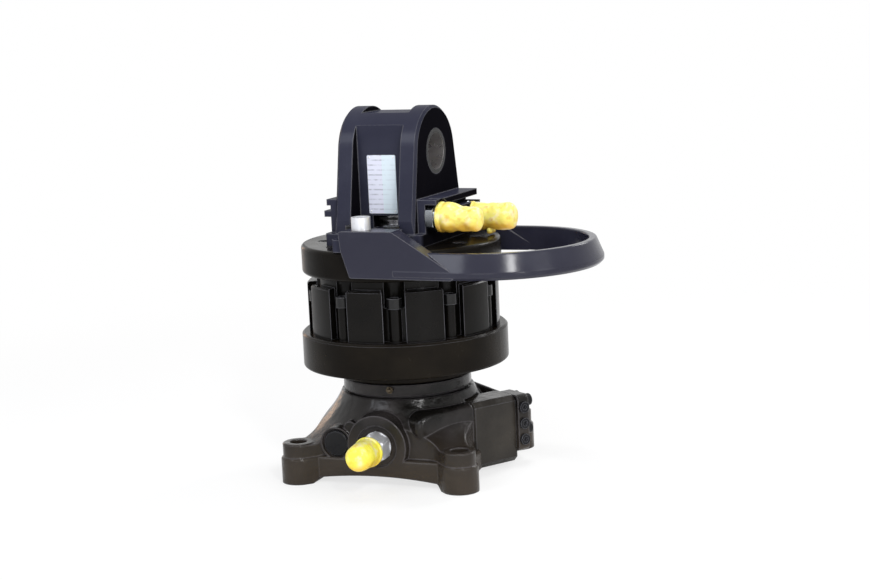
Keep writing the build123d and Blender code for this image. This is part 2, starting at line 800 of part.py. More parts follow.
with BuildPart() as upper_bush:
    with BuildSketch(Plane.XZ):
        ring_profile(shaft_r + running_gap, bush_bore_r, upper_ring_z + part_gap, pocket_z)
    revolve(axis=Axis.Z)
    chamfer(upper_bush.edges().filter_by(GeomType.CIRCLE), 0.6)
save(upper_bush.part, "upper_bush")

# Stator: cam bore, panels and pillars for the long screws
cam_points = []
for k in range(12 * cam_lobes):
    turn = math.tau * k / (12 * cam_lobes)
    reach = cam_r + cam_lift * (1 - math.cos(cam_lobes * turn)) / 2
    cam_points.append((reach * math.cos(turn), reach * math.sin(turn)))
with BuildPart() as stator:
    with BuildSketch(Plane.XY.offset(stator_z)):
        Circle(stator_r)
        with Locations(*pillar_spots):
            Circle(pillar_r + pillar_groove, mode=Mode.SUBTRACT)
            Circle(pillar_r)
        Circle(stator_neck_r)
    extrude(amount=stator_step)
    with BuildSketch(Plane.XZ):
        with BuildLine():
            Polyline((0, stator_z), (stator_r, stator_z), (stator_r, step_z - stator_bevel),
                     (stator_r - stator_bevel, step_z), (0, step_z), (0, stator_z))
        make_face()
    revolve(axis=Axis.Z, mode=Mode.INTERSECT)
    with BuildSketch(Plane.XY.offset(step_z)):
        Circle(stator_neck_r)
    extrude(amount=stator_h - stator_step)
    with BuildSketch(Plane.XY.offset(pillar_top_z)):
        with Locations(*pillar_spots):
            Circle(1.5 * long_screw_r + pillar_head_gap)
    extrude(amount=stator_h - pillar_h, mode=Mode.SUBTRACT)
    with BuildSketch(Plane.XY.offset(stator_z)):
        with BuildLine():
            Spline(*cam_points, periodic=True)
        make_face()
        with Locations(*pillar_spots):
            Circle(long_screw_r)
    extrude(amount=stator_h, mode=Mode.SUBTRACT)
    with BuildSketch(Plane.XY.offset(upper_ring_z)):
        with Locations(*cover_screw_spots):
            Circle(cover_screw_r)
    extrude(amount=-cover_screw_bite, mode=Mode.SUBTRACT)
save(stator.part, "stator")

# Long socket screws from the stator into the lower cover
with BuildPart() as stator_screws:
    add(socket_screws(Plane.XY.offset(pillar_top_z), pillar_spots, long_screw_r, pillar_h + screw_bite))
save(stator_screws.part, "stator_screws")

# Rotor on the splines, with a slot for each vane
with BuildPart() as rotor:
    with BuildSketch(Plane.XY.offset(stator_z + part_gap)):
        Circle(rotor_r)
        Circle(shaft_r, mode=Mode.SUBTRACT)
        with PolarLocations(shaft_r - spline_depth / 2 + 0.25, spline_count):
            Rectangle(spline_depth - 0.5 + 1, 3.6)
        with PolarLocations(rotor_r - vane_depth / 2, vane_count):
            Rectangle(vane_depth + 2, vane_t, mode=Mode.SUBTRACT)
    extrude(amount=stator_h - 2 * part_gap)
save_on_head(rotor.part, "rotor")

with BuildPart() as vanes:
    with BuildSketch(Plane.XY.offset(stator_z + part_gap)):
        with PolarLocations(rotor_r - vane_depth / 2 + 1, vane_count):
            Rectangle(vane_depth, vane_t - 0.1)
        Circle(rotor_r + 0.2, mode=Mode.INTERSECT)
    extrude(amount=stator_h - 2 * part_gap)
save_on_head(vanes.part, "vanes")

# Soft rings that seal the stator against both covers
with BuildPart() as cover_orings:
    with BuildSketch(Plane.XZ):
        for z in (stator_z - 1.1, upper_ring_z + 1.1):
            with Locations((oring_r, z)):
                Circle(1.1)
    revolve(axis=Axis.Z)
save(cover_orings.part, "cover_orings")

# Upper cover with the pocket of the thrust bearing
with BuildPart() as upper_cover:
    with BuildSketch(Plane.XZ):
        ring_profile(bush_bore_r, upper_ring_r, upper_ring_z, deck_z)
    revolve(axis=Axis.Z)
    fillet(upper_cover.edges().filter_by(GeomType.CIRCLE).filter_by(
        lambda e: abs(e.radius - upper_ring_r) < 0.01), 3.5)
    with BuildSketch(Plane.XZ):
        ring_profile(bush_bore_r - 1, bearing_pocket_r, pocket_z, deck_z + 1)
        ring_profile(oring_r - oring_wire / 2, oring_r + oring_wire / 2, upper_ring_z - 1,
                     upper_ring_z + 2.4)
    revolve(axis=Axis.Z, mode=Mode.SUBTRACT)
    with BuildSketch(Plane.XY.offset(upper_ring_z)):
        with Locations(*cover_screw_spots):
            Circle(cover_screw_r)
    extrude(amount=upper_ring_h, mode=Mode.SUBTRACT)
    with BuildSketch(Plane.XY.offset(deck_z)):
        with Locations(*cover_screw_spots):
            Circle(1.7 * cover_screw_r)
    extrude(amount=-cover_screw_sink, mode=Mode.SUBTRACT)
    with BuildSketch(Plane.XY.offset(deck_z)):
        with Locations(*hanger_screw_spots):
            Circle(hanger_screw_r)
    extrude(amount=-hanger_screw_bite, mode=Mode.SUBTRACT)
save(upper_cover.part, "upper_cover")

# Screws from the upper cover into the stator, sunk below the deck
with BuildPart() as cover_screws:
    add(socket_screws(Plane.XY.offset(deck_z - cover_screw_sink), cover_screw_spots, cover_screw_r,
                      upper_ring_h - cover_screw_sink + cover_screw_bite))
save(cover_screws.part, "cover_screws")

# Thrust bearing that carries the load, and the nut on the shaft above it
with BuildPart() as lower_race:
    with BuildSketch(Plane.XZ):
        ring_profile(bush_bore_r - 3, race_r, pocket_z, pocket_z + race_t)
    revolve(axis=Axis.Z)
save(lower_race.part, "lower_race")

with BuildPart() as thrust_rollers:
    with BuildSketch(Plane.XZ.offset(-race_r + 1 + roller_l)):
        with Locations((0, pocket_z + race_t + roller_r)):
            Circle(roller_r)
    extrude(amount=-roller_l)
    roller = thrust_rollers.part
    for k in range(1, roller_count):
        add(roller.rotate(Axis.Z, 360 * k / roller_count))
save(thrust_rollers.part, "thrust_rollers")

race_z = pocket_z + race_t + 2 * roller_r + part_gap
with BuildPart() as upper_race:
    with BuildSketch(Plane.XZ):
        ring_profile(shaft_r, race_r, race_z, race_z + race_t)
    revolve(axis=Axis.Z)
save_on_head(upper_race.part, "upper_race")

with BuildPart() as shaft_nut:
    with BuildSketch(Plane.XY.offset(race_z + race_t)):
        Circle(nut_r)
        Circle(shaft_r, mode=Mode.SUBTRACT)
        with PolarLocations(nut_r, 6):
            Rectangle(8, 7, mode=Mode.SUBTRACT)
    extrude(amount=nut_t)
save_on_head(shaft_nut.part, "shaft_nut")

# Hanger bracket: two ears, the web round the pin bore, the swivel block and the plinth
lean = math.acos(ear_r / math.hypot(ear_foot, bore_z - ear_foot_z)) - math.atan2(
    bore_z - ear_foot_z, ear_foot)
tangent_y = ear_r * math.cos(lean)
tangent_z = bore_z + ear_r * math.sin(lean)
ear_in = lug_width / 2 - ear_t
with BuildPart() as hanger_bracket:
    with BuildSketch(Plane.YZ.offset(-lug_width / 2)) as ear_outline:
        with BuildLine():
            Polyline((tangent_y, tangent_z), (ear_foot, ear_foot_z), (ear_foot, deck_z),
                     (-ear_foot, deck_z), (-ear_foot, ear_foot_z), (-tangent_y, tangent_z))
            ThreePointArc((-tangent_y, tangent_z), (0, bore_z + ear_r), (tangent_y, tangent_z))
        make_face()
    extrude(amount=lug_width)
    ear_rims = hanger_bracket.edges().filter_by(
        lambda e: abs(abs(e.center().X) - lug_width / 2) < 0.01 and e.center().Z > ear_foot_z - 1)
    chamfer(ear_rims, ear_bevel)
    # Recesses between the ears, front and rear, down to the web
    for side in (-1, 1):
        with BuildSketch(Plane.YZ.offset(-ear_in)):
            with BuildLine():
                crown_z = bore_z + web_crown
                corner_y = side * (web_r - web_corner)
                cut = web_corner * (1 - math.sqrt(0.5))
                Polyline((side * web_r, crown_z - web_corner), (side * web_r, web_foot_z),
                         (side * web_back, web_foot_z), (side * web_back, plinth_z),
                         (side * 2 * ear_foot, plinth_z), (side * 2 * ear_foot, bore_z + 2 * ear_r),
                         (0, bore_z + 2 * ear_r), (0, crown_z), (corner_y, crown_z))
                ThreePointArc((corner_y, crown_z), (side * (web_r - cut), crown_z - cut),
                              (side * web_r, crown_z - web_corner))
            make_face()
        extrude(amount=2 * ear_in, mode=Mode.SUBTRACT)
    # Pocket in the foot of the web, front and rear
    for side in (-1, 1):
        with BuildSketch(Plane.XY.offset(deck_z + web_pocket_low)):
            with Locations((0, side * web_back)):
                Rectangle(web_pocket_w, 2 * web_pocket_depth)
        extrude(amount=web_foot_rise - web_pocket_low, mode=Mode.SUBTRACT)
    # Swivel block with ribs either side
    for side, out in ((-1, fin_left), (1, fin_right)):
        with BuildSketch(Plane.XY.offset(deck_z)):
            with Locations((side * (block_half_x + lug_width / 2) / 2, 0)):
                Rectangle(block_half_x - lug_width / 2, 2 * block_half_y)
        extrude(amount=block_h - fin_t)
        for drop, reach in ((fin_t, out - fin_step), (2 * fin_t + fin_gap, out)):
            with BuildSketch(Plane.XY.offset(block_top_z - drop)):
                with Locations((side * (block_half_x + reach + lug_width / 2) / 2, 0)):
                    Rectangle(block_half_x + reach - lug_width / 2, 2 * block_half_y)
            extrude(amount=fin_t)
    # Plinth on the deck, with a pad towards each end of the hose guard
    with BuildSketch(Plane.XY.offset(deck_z)) as plinth:
        with Locations(((block_half_x - plinth_left) / 2, 0)):
            Rectangle(block_half_x + plinth_left, 2 * plinth_half_y)
        with Locations(((pad_left + pad_right) / 2, 0)):
            Rectangle(pad_right - pad_left, 2 * pad_reach)
        fillet(plinth.vertices(), 5)
    extrude(amount=plinth_t)
    # Room for the heads of the corner screws
    with BuildSketch(Plane.XY.offset(plinth_z)):
        with Locations(*hanger_screw_spots):
            Circle(1.8 * hanger_screw_r)
    extrude(amount=block_h, mode=Mode.SUBTRACT)
    with BuildSketch(Plane.XY.offset(deck_z)):
        with Locations(*hanger_screw_spots):
            Circle(hanger_screw_r)
    extrude(amount=plinth_t, mode=Mode.SUBTRACT)
    with BuildSketch(Plane.XY.offset(plinth_z)):
        with Locations(*guard_bolt_spots):
            Circle(guard_bolt_r)
    extrude(amount=-plinth_t, mode=Mode.SUBTRACT)
    # Bore for the hanging pin, with room for its bushes
    with BuildSketch(Plane.YZ.offset(-lug_width / 2)):
        with Locations((0, bore_z)):
            Circle(bore_r + lug_bush_wall)
    extrude(amount=lug_width, mode=Mode.SUBTRACT)
    # Swivel bore and the ports that open into it
    with BuildSketch(Plane.XY.offset(deck_z)):
        Circle(swivel_r + running_gap)
    extrude(amount=swivel_top - deck_z + 2, mode=Mode.SUBTRACT)
    for y, z in grapple_ports:
        with BuildSketch(Plane.YZ.offset(block_half_x)):
            with Locations((y, z)):
                Circle(adapter_af / math.sqrt(3) + casting_gap + 0.7)
        extrude(amount=2 * fin_right, mode=Mode.SUBTRACT)
        with BuildSketch(Plane.YZ.offset(block_half_x)):
            with Locations((y, z)):
                Circle(adapter_thread_r)
        extrude(amount=-adapter_stud_l, mode=Mode.SUBTRACT)
    for y in (-turn_port_y, turn_port_y):
        with BuildSketch(Plane.YZ.offset(-block_half_x)):
            with Locations((y, turn_port_z)):
                Circle(turn_plug_r + 2)
        extrude(amount=-2 * fin_left, mode=Mode.SUBTRACT)
        with BuildSketch(Plane.YZ.offset(-block_half_x)):
            with Locations((y, turn_port_z)):
                Circle(turn_plug_r - 3)
        extrude(amount=adapter_stud_l, mode=Mode.SUBTRACT)
save(hanger_bracket.part, "hanger_bracket")

# Screws through the plinth into the upper cover
with BuildPart() as hanger_screws:
    add(socket_screws(Plane.XY.offset(plinth_z), hanger_screw_spots, hanger_screw_r,
                      plinth_t + hanger_screw_bite))
save(hanger_screws.part, "hanger_screws")

# Two hardened bushes in the bore of the hanging pin, with a grease gap between them
with BuildPart() as lug_bushes:
    for start, length in ((-lug_width / 2, lug_bush_l), (lug_width / 2, -lug_bush_l)):
        with BuildSketch(Plane.YZ.offset(start)):
            with Locations((0, bore_z)):
                Circle(bore_r + lug_bush_wall)
                Circle(bore_r, mode=Mode.SUBTRACT)
        extrude(amount=length)
save(lug_bushes.part, "lug_bushes")

# Slide rings in the grooves of the swivel
with BuildPart() as swivel_seals:
    with BuildSketch(Plane.XZ):
        for z in seal_zs:
            ring_profile(swivel_r - 2, swivel_r, z - seal_h / 2, z + seal_h / 2)
    revolve(axis=Axis.Z)
save_on_head(swivel_seals.part, "swivel_seals")

# Rating plate on the front of the web
with BuildPart() as rating_plate:
    with BuildSketch(Plane.XZ.offset(web_r)) as plate_outline:
        with Locations((0, bore_z - plate_drop)):
            Rectangle(plate_w, plate_h)
        fillet(plate_outline.vertices(), plate_corner)
    extrude(amount=plate_t)
save(rating_plate.part, "rating_plate")

# Hose guard: a hoop round the ports, carried by a cheek on each pad
arm_y = guard_half - guard_wide / 2
with BuildPart() as hose_guard:
    with BuildLine(Plane.XY.offset(guard_bottom)):
        Line((cheek_right, -arm_y), (guard_centre_x, -arm_y))
        ThreePointArc((guard_centre_x, -arm_y), (guard_centre_x + arm_y, 0), (guard_centre_x, arm_y))
        Line((guard_centre_x, arm_y), (cheek_right, arm_y))
    with BuildSketch(Plane(origin=(cheek_right, -arm_y, guard_bottom), x_dir=(0, 1, 0),
                           z_dir=(1, 0, 0))) as bar:
        inner_x = guard_wide / 2
        Polygon((inner_x, 0), (inner_x, guard_h), (inner_x - guard_narrow, guard_h),
                (-inner_x, guard_ridge), (-inner_x, 3), (3 - inner_x, 0), align=None)
        fillet(bar.vertices(), 1.6)
    sweep()
    for side in (-1, 1):
        with BuildSketch(Plane.XZ.offset(-side * (guard_half - cheek_set))) as cheek:
            Polygon((cheek_left, shelf_z), (cheek_left + 2, plinth_z - 10), (cheek_left + 10, guard_bottom),
                    (cheek_end, guard_bottom), (cheek_end, guard_bottom + guard_ridge),
                    (cheek_right, shelf_z), align=None)
            fillet(cheek.vertices(), 3)
        extrude(amount=side * cheek_depth)
    # Clear of the upper cover, the pads and the hose ports
    with BuildSketch(Plane.XY.offset(guard_bottom - 1)):
        Circle(upper_ring_r + casting_gap)
    extrude(amount=deck_z + 0.5 - guard_bottom + 1, mode=Mode.SUBTRACT)
    with BuildSketch(Plane.XY.offset(guard_bottom - 1)):
        with Locations(((pad_left + pad_right) / 2, 0)):
            Rectangle(pad_right - pad_left + 2, 2 * pad_reach + 2)
    extrude(amount=plinth_z - guard_bottom + 1, mode=Mode.SUBTRACT)
    with BuildSketch(Plane.XY.offset(guard_bottom - 1)):
        wall_y = guard_half - cheek_thin
        bar_y = guard_half - guard_wide
        Polygon((pad_right + 1, -wall_y), (cheek_end, -bar_y), (cheek_end + 1, 0), (cheek_end, bar_y),
                (pad_right + 1, wall_y), align=None)
    extrude(amount=shelf_z - guard_bottom + 2, mode=Mode.SUBTRACT)
    with BuildSketch(Plane.XY.offset(plinth_z)):
        with Locations(*guard_bolt_spots):
            Circle(guard_bolt_r)
    extrude(amount=cheek_t, mode=Mode.SUBTRACT)
save(hose_guard.part, "hose_guard")

with BuildPart() as guard_bolts:
    add(socket_screws(Plane.XY.offset(shelf_z), guard_bolt_spots, guard_bolt_r, cheek_t + plinth_t - 1))
save(guard_bolts.part, "guard_bolts")

# Plugs in the two rotation ports
with BuildPart() as rotation_plugs:
    turn_spots = [(-turn_port_y, turn_port_z), (turn_port_y, turn_port_z)]
    with BuildSketch(Plane.YZ.offset(-block_half_x)):
        with Locations(*turn_spots):
            Circle(turn_plug_r - 3)
    extrude(amount=adapter_stud_l - 1)
    with BuildSketch(Plane.YZ.offset(-block_half_x)):
        with Locations(*turn_spots):
            Circle(turn_plug_r)
    extrude(amount=-4)
    with BuildSketch(Plane.YZ.offset(-block_half_x - 4)):
        with Locations(*turn_spots):
            RegularPolygon(5, 6)
    extrude(amount=6, mode=Mode.SUBTRACT)
save(rotation_plugs.part, "rotation_plugs")

# Hose adapters and caps: two at the top for the grapple lines, two on the head
pad_floor_y = base_side - port_spot
hose_ends = (
    ("front_inlet", (block_half_x, -upper_port_y, front_port_z), (1, 0, 0), front_cap_l),
    ("rear_inlet", (block_half_x, upper_port_y, rear_port_z), (1, 0, 0), rear_cap_l),
    ("front_outlet", (0, -pad_floor_y, port_z), (0, -1, 0), lower_cap_l),
    ("rear_outlet", (0, pad_floor_y, port_z), (0, 1, 0), lower_cap_l),
)
for name, origin, direction, length in hose_ends:
    upper = "inlet" in name
    keep = save if upper else save_on_head
    hex_t = upper_hex_t if upper else lower_hex_t
    waist = upper_waist if upper else lower_waist
    with BuildPart() as adapter:
        add(hose_adapter(origin, direction, hex_t))
    keep(adapter.part, f"{name}_adapter")
    with BuildPart() as cap:
        lip_start = Vector(*origin) + Vector(*direction) * (hex_t + 1.5 + part_gap)
        add(thread_cap(tuple(lip_start), direction, length, waist, name == "rear_inlet"))
    keep(cap.part, f"{name}_cap")
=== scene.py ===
"""Looks of a hydraulic rotator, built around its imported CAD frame.

Most of it is the CAD's own solids with procedural finishes: the hanger and its guard, the casings
of the vane motor, the lower head with its valve, and all screws. Built here are the four soft hose
caps, the two lower fittings, the threads of the two upper fittings and the rivets of the plate.
Each rides on the body that carries it. Finishes and lamps are sized in metres, and the pieces built
here in millimetres, both in the frame of the CAD.
"""
import json
import logging
import math
from dataclasses import dataclass
from enum import Enum

import bmesh
import bpy
from mathutils import Matrix, Vector, noise


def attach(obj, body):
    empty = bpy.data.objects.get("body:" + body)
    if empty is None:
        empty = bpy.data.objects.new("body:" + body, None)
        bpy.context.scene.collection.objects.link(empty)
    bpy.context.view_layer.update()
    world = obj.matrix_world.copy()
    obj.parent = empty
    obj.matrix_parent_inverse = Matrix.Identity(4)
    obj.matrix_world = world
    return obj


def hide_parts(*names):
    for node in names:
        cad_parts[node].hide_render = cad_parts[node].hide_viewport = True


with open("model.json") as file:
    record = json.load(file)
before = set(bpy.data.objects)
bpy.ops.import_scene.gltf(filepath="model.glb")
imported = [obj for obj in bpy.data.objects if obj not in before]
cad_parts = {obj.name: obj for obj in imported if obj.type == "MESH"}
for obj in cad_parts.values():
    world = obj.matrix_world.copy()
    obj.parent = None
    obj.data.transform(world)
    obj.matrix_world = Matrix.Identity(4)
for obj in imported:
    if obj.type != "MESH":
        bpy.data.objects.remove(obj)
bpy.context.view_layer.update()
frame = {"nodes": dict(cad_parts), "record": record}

log = logging.getLogger("rotator")

MM = 0.001
HOUSING = "housing"
LOWER_HEAD = "lower_head"
STEEL_SLOT = "plated_steel"

Colour = tuple[float, float, float]
Place = tuple[float, float, float]
Stops = tuple[tuple[float, float], ...]
Profile = tuple[tuple[float, float], ...]


@dataclass(frozen=True)
class Layer:
    """Cloudy noise: metres between its patches, how many finer layers it has, and its own shift."""

    size: float
    detail: float = 2.0
    shift: Place = (0, 0, 0)


@dataclass(frozen=True)
class Relief:
    """Unevenness of a surface: its noise, its height in metres, and how much of it shows."""

    layer: Layer
    height: float
    strength: float


class Socket:
    """One output of a shader node, which takes part in plain arithmetic."""

    def __init__(self, shader: "Shader", link: bpy.types.NodeSocket) -> None:
        """Wraps a node's output.

        Args:
            shader: the material that the node belongs to.
            link: the output itself.
        """
        self.shader = shader
        self.link = link

    def math(self, operation: str, *others: "Socket | float") -> "Socket":
        """Adds a Math node with this socket as its first value.

        Args:
            operation: the Math node's operation.
            others: the node's further values.

        Returns:
            The node's result.
        """
        return self.shader.math(operation, self, *others)

    def __add__(self, other: "Socket | float") -> "Socket":
        """Sum of two values."""
        return self.math("ADD", other)

    def __radd__(self, other: float) -> "Socket":
        """Sum, with the number first."""
        return self.shader.math("ADD", other, self)

    def __sub__(self, other: "Socket | float") -> "Socket":
        """Difference of two values."""
        return self.math("SUBTRACT", other)

    def __rsub__(self, other: float) -> "Socket":
        """Difference, with the number first."""
        return self.shader.math("SUBTRACT", other, self)

    def __mul__(self, other: "Socket | float") -> "Socket":
        """Product of two values."""
        return self.math("MULTIPLY", other)

    def __truediv__(self, other: "Socket | float") -> "Socket":
        """Quotient of two values."""
        return self.math("DIVIDE", other)

    def __pow__(self, other: float) -> "Socket":
        """This value raised to a power."""
        return self.math("POWER", other)

    def spread(self, amount: float) -> "Socket":
        """Turns a noise around a half into one around nothing.

        Args:
            amount: distance between its ends.

        Returns:
            The value around nothing.
        """
        return (self - 0.5) * amount


class Shader:
    """The node tree of one material, with a Principled surface and its output."""

    def __init__(self, name: str) -> None:
        """Starts an empty material.

        Args:
            name: the material's name.
        """
        self.material = bpy.data.materials.new(name)
        self.material.use_nodes = True
        self.tree = self.material.node_tree
        self.tree.nodes.clear()
        self.places: Socket | None = None

    def node(
        self,
        kind: str,
        settings: dict[str, object] | None = None,
        sockets: dict[str | int, "Socket | object"] | None = None,
        output: str | int = 0,
    ) -> Socket | None:
        """Adds a node.

        Args:
            kind: the node's type.
            settings: attributes set first, with ramp stops under the name stops.
            sockets: values or links for its inputs, by name or number.
            output: the output to return, by name or number.

        Returns:
            The chosen output of the new node, or nothing where the node has none.
        """
        made = self.tree.nodes.new(kind)
        for name, value in (settings or {}).items():
            if name == "stops":
                self.set_stops(made.color_ramp, value)
            else:
                setattr(made, name, value)
        for key, value in (sockets or {}).items():
            if isinstance(value, Socket):
                self.tree.links.new(value.link, made.inputs[key])
            else:
                made.inputs[key].default_value = value
        return Socket(self, made.outputs[output]) if made.outputs else None

    @staticmethod
    def set_stops(ramp: bpy.types.ColorRamp, stops: Stops) -> None:
        """Sets a ramp's stops.

        Args:
            ramp: the ramp.
            stops: pairs of a place and a grey level.
        """
        for count, (place, level) in enumerate(stops):
            stop = ramp.elements[count] if count < 2 else ramp.elements.new(place)
            stop.position = place
            stop.color = (level, level, level, 1)

    def math(self, operation: str, *values: Socket | float) -> Socket:
        """Adds a Math node.

        Args:
            operation: the node's operation.
            values: its inputs in order.

        Returns:
            The node's result.
        """
        return self.node("ShaderNodeMath", {"operation": operation}, dict(enumerate(values)))

    def mix(
        self, factor: Socket | float, first: Socket | Colour, second: Socket | Colour
    ) -> Socket:
        """Mixes two colours.

        Args:
            factor: 0 gives the first colour and 1 the second.
            first: a colour, or a socket that gives one.
            second: the other colour.

        Returns:
            The mixed colour.
        """
        ends = [end if isinstance(end, Socket) else (*end, 1.0) for end in (first, second)]
        sockets = {0: factor, 6: ends[0], 7: ends[1]}
        return self.node("ShaderNodeMix", {"data_type": "RGBA"}, sockets, 2)

    def place(self) -> Socket:
        """Finds the point on the surface.

        Returns:
            The point in the object's own coordinates, in metres.
        """
        if self.places is None:
            self.places = self.node("ShaderNodeTexCoord", output="Object")
        return self.places

    def grain(self, layer: Layer) -> Socket:
        """Cloudy noise over the surface.

        Args:
            layer: the noise's size, detail and shift.

        Returns:
            A value around a half.
        """
        place = {"Vector": self.place(), "Location": layer.shift}
        moved = self.node("ShaderNodeMapping", None, place)
        sockets = {"Vector": moved, "Scale": 1 / layer.size, "Detail": layer.detail}
        return self.node("ShaderNodeTexNoise", None, sockets)

    def ramp(self, value: Socket, stops: Stops) -> Socket:
        """Maps a value through a ramp of grey levels.

        Args:
            value: the value to map.
            stops: pairs of a place and a grey level.

        Returns:
            The level at the value.
        """
        return self.node("ShaderNodeValToRGB", {"stops": stops}, {"Fac": value})

    def edges(self, radius: float) -> Socket:
        """Normal that is rounded over each edge, as paint rounds it.

        Args:
            radius: radius of the rounding, in metres.

        Returns:
            The rounded normal.
        """
        return self.node("ShaderNodeBevel", {"samples": 6}, {"Radius": radius})

    def bent(self, rounded: Socket) -> Socket:
        """How far a rounded normal leans from the surface.

        Args:
            rounded: the rounded normal.

        Returns:
            0 on a flat, and up to about 0.3 on a square edge.
        """
        true = self.node("ShaderNodeNewGeometry", output="Normal")
        both = {0: true, 1: rounded}
        return 1 - self.node("ShaderNodeVectorMath", {"operation": "DOT_PRODUCT"}, both, 1)

    def facing(self, axis: int) -> Socket:
        """How far the surface faces along one of the object's axes.

        Args:
            axis: 0 for x, 1 for y and 2 for z.

        Returns:
            A value from -1 to 1.
        """
        normal = self.node("ShaderNodeTexCoord", output="Normal")
        return self.node("ShaderNodeSeparateXYZ", None, {0: normal}, axis)

    def sideways(self) -> Socket:
        """How far the surface faces along x, the axis of the lug's bore.

        Returns:
            A value from 0 to 1.
        """
        return (self.facing(0) ** 2) ** 2

    def relief(self, kind: Relief, under: Socket | None = None) -> Socket:
        """Bends the normal by an unevenness.

        Args:
            kind: the unevenness.
            under: a normal that this one is added to.

        Returns:
            The normal.
        """
        sockets = {
            "Height": self.grain(kind.layer), "Distance": kind.height, "Strength": kind.strength
        }
        if under is not None:
            sockets["Normal"] = under
        return self.node("ShaderNodeBump", None, sockets)

    def finish(self, **surface: Socket | object) -> bpy.types.Material:
        """Adds the Principled surface and the output.

        Args:
            surface: the surface's inputs, with underscores for the spaces in their names.

        Returns:
            The finished material.
        """
        sockets = {name.replace("_", " "): value for name, value in surface.items()}
        shade = self.node("ShaderNodeBsdfPrincipled", None, sockets)
        self.node("ShaderNodeOutputMaterial", None, {"Surface": shade})
        return self.material


class Skin(Enum):
    """What lies under the paint or plating."""

    CAST = "cast"
    TURNED = "turned"
    PLAIN = "plain"


RELIEFS = {
    Skin.CAST: (
        Relief(Layer(0.014, 2, (0.5, 0.2, 0.4)), 0.0014, 0.7),
        Relief(Layer(0.0016, 2, (0.1, 0.8, 0.2)), 0.00025, 0.5),
    ),
    Skin.TURNED: (Relief(Layer(0.02, 2, (0.5, 0.2, 0.4)), 0.0005, 0.4),),
    Skin.PLAIN: (Relief(Layer(0.004, 3, (0.3, 0.1, 0.7)), 0.0001, 0.3),),
}


@dataclass(frozen=True)
class Paint:
    """Black paint over a casting, a turned ring or a screw: dusty in random patches, with painted
    highlights on its edges, and where asked painted shade on faces along x and a browner tone
    towards the bottom.
    """

    name: str
    colour: Colour
    dust: Colour
    rough: float
    skin: Skin
    dust_share: float = 0.35
    gloss: float = 0.12
    edge: float = 0.0012
    # Painted shade on faces along x: how much, and its near-black colour.
    side_shade: float = 0.0
    side_shade_colour: Colour = (0.002, 0.0015, 0.001)
    coat: float = 0.0
    # Painted highlight along the edges: its share, its pale colour and where it starts.
    edge_highlight_share: float = 0.7
    edge_highlight: Colour = (0.17, 0.17, 0.19)
    edge_highlight_from: Stops = ((0.3, 0.0), (0.95, 1.0))
    lean_scale: float = 7.0
    # A browner tone towards the bottom, where asked: its colour, where it starts and how fast.
    low_brown: Colour | None = None
    low_from: Stops = ((0.15, 1.0), (0.6, 0.0))
    low_scale: float = 10.0
    patches: Layer = Layer(0.045, 4)
    dusty_from: Stops = ((0.42, 0.0), (0.72, 1.0))
    specks: Layer = Layer(0.004, 3, (0.3, 0.1, 0.7))
    ragged: float = 0.5
    patch_rough: float = 0.22
    speck_rough: float = 0.08

    def material(self) -> bpy.types.Material:
        """Builds the paint's material.

        Returns:
            The material.
        """
        shader = Shader(self.name)
        patches = shader.grain(self.patches)
        dusty = shader.ramp(patches, self.dusty_from) * self.dust_share
        colour = shader.mix(dusty, self.colour, self.dust)
        # Browner towards the bottom of the object.
        if self.low_brown:
            height = shader.node("ShaderNodeSeparateXYZ", None, {0: shader.place()}, 2)
            low = shader.ramp(height * self.low_scale + patches.spread(self.ragged), self.low_from)
            colour = shader.mix(low, colour, self.low_brown)
        # Painted shade: faces along x, which the lamps leave dark, are mixed towards near-black.
        if self.side_shade:
            colour = shader.mix(shader.sideways() * self.side_shade, colour, self.side_shade_colour)
        normal = shader.edges(self.edge)
        # Painted highlight: where the rounded normal leans, at the edges, the colour is mixed
        # towards a pale one.
        lean = shader.bent(normal) * self.lean_scale
        edge_highlight_mask = shader.ramp(lean + patches.spread(self.ragged), self.edge_highlight_from)
        colour = shader.mix(edge_highlight_mask * self.edge_highlight_share, colour, self.edge_highlight)
        for kind in RELIEFS[self.skin]:
            normal = shader.relief(kind, normal)
        rough = self.rough + patches.spread(self.patch_rough)
        return shader.finish(
            Base_Color=colour,
            Roughness=rough + shader.grain(self.specks).spread(self.speck_rough),
            Normal=normal,
            Specular_IOR_Level=self.gloss,
            Coat_Weight=(1 - shader.sideways()) * self.coat if self.coat else 0.0,
            Coat_Roughness=self.rough,
        )


@dataclass(frozen=True)
class Metal:
    """Bare or plated metal."""

    name: str
    colour: Colour
    stain: Colour
    rough: float
    stain_share: float = 0.4
    metallic: float = 1.0
    # Painted shade on faces along x: how much, and its near-black colour.
    side_shade: float = 0.0
    side_shade_black: Colour = (0.01, 0.01, 0.01)
    clouds: Layer = Layer(0.006, 4)
    stained_from: Stops = ((0.45, 0.0), (0.75, 1.0))
    cloud_rough: float = 0.2
    marks: Relief = Relief(Layer(0.0006, 2, (0.7, 0.2, 0.1)), 0.00003, 0.4)
    edge: float = 0.0004

    def material(self) -> bpy.types.Material:
        """Builds the metal's material.

        Returns:
            The material.
        """
        shader = Shader(self.name)
        clouds = shader.grain(self.clouds)
        stained = shader.ramp(clouds, self.stained_from) * self.stain_share
        colour = shader.mix(stained, self.colour, self.stain)
        # Painted shade: faces along x are mixed towards near-black.
        if self.side_shade:
            colour = shader.mix(shader.sideways() * self.side_shade, colour, self.side_shade_black)
        return shader.finish(
            Base_Color=colour,
            Roughness=self.rough + clouds.spread(self.cloud_rough),
            Metallic=self.metallic,
            Normal=shader.relief(self.marks, shader.edges(self.edge)),
        )


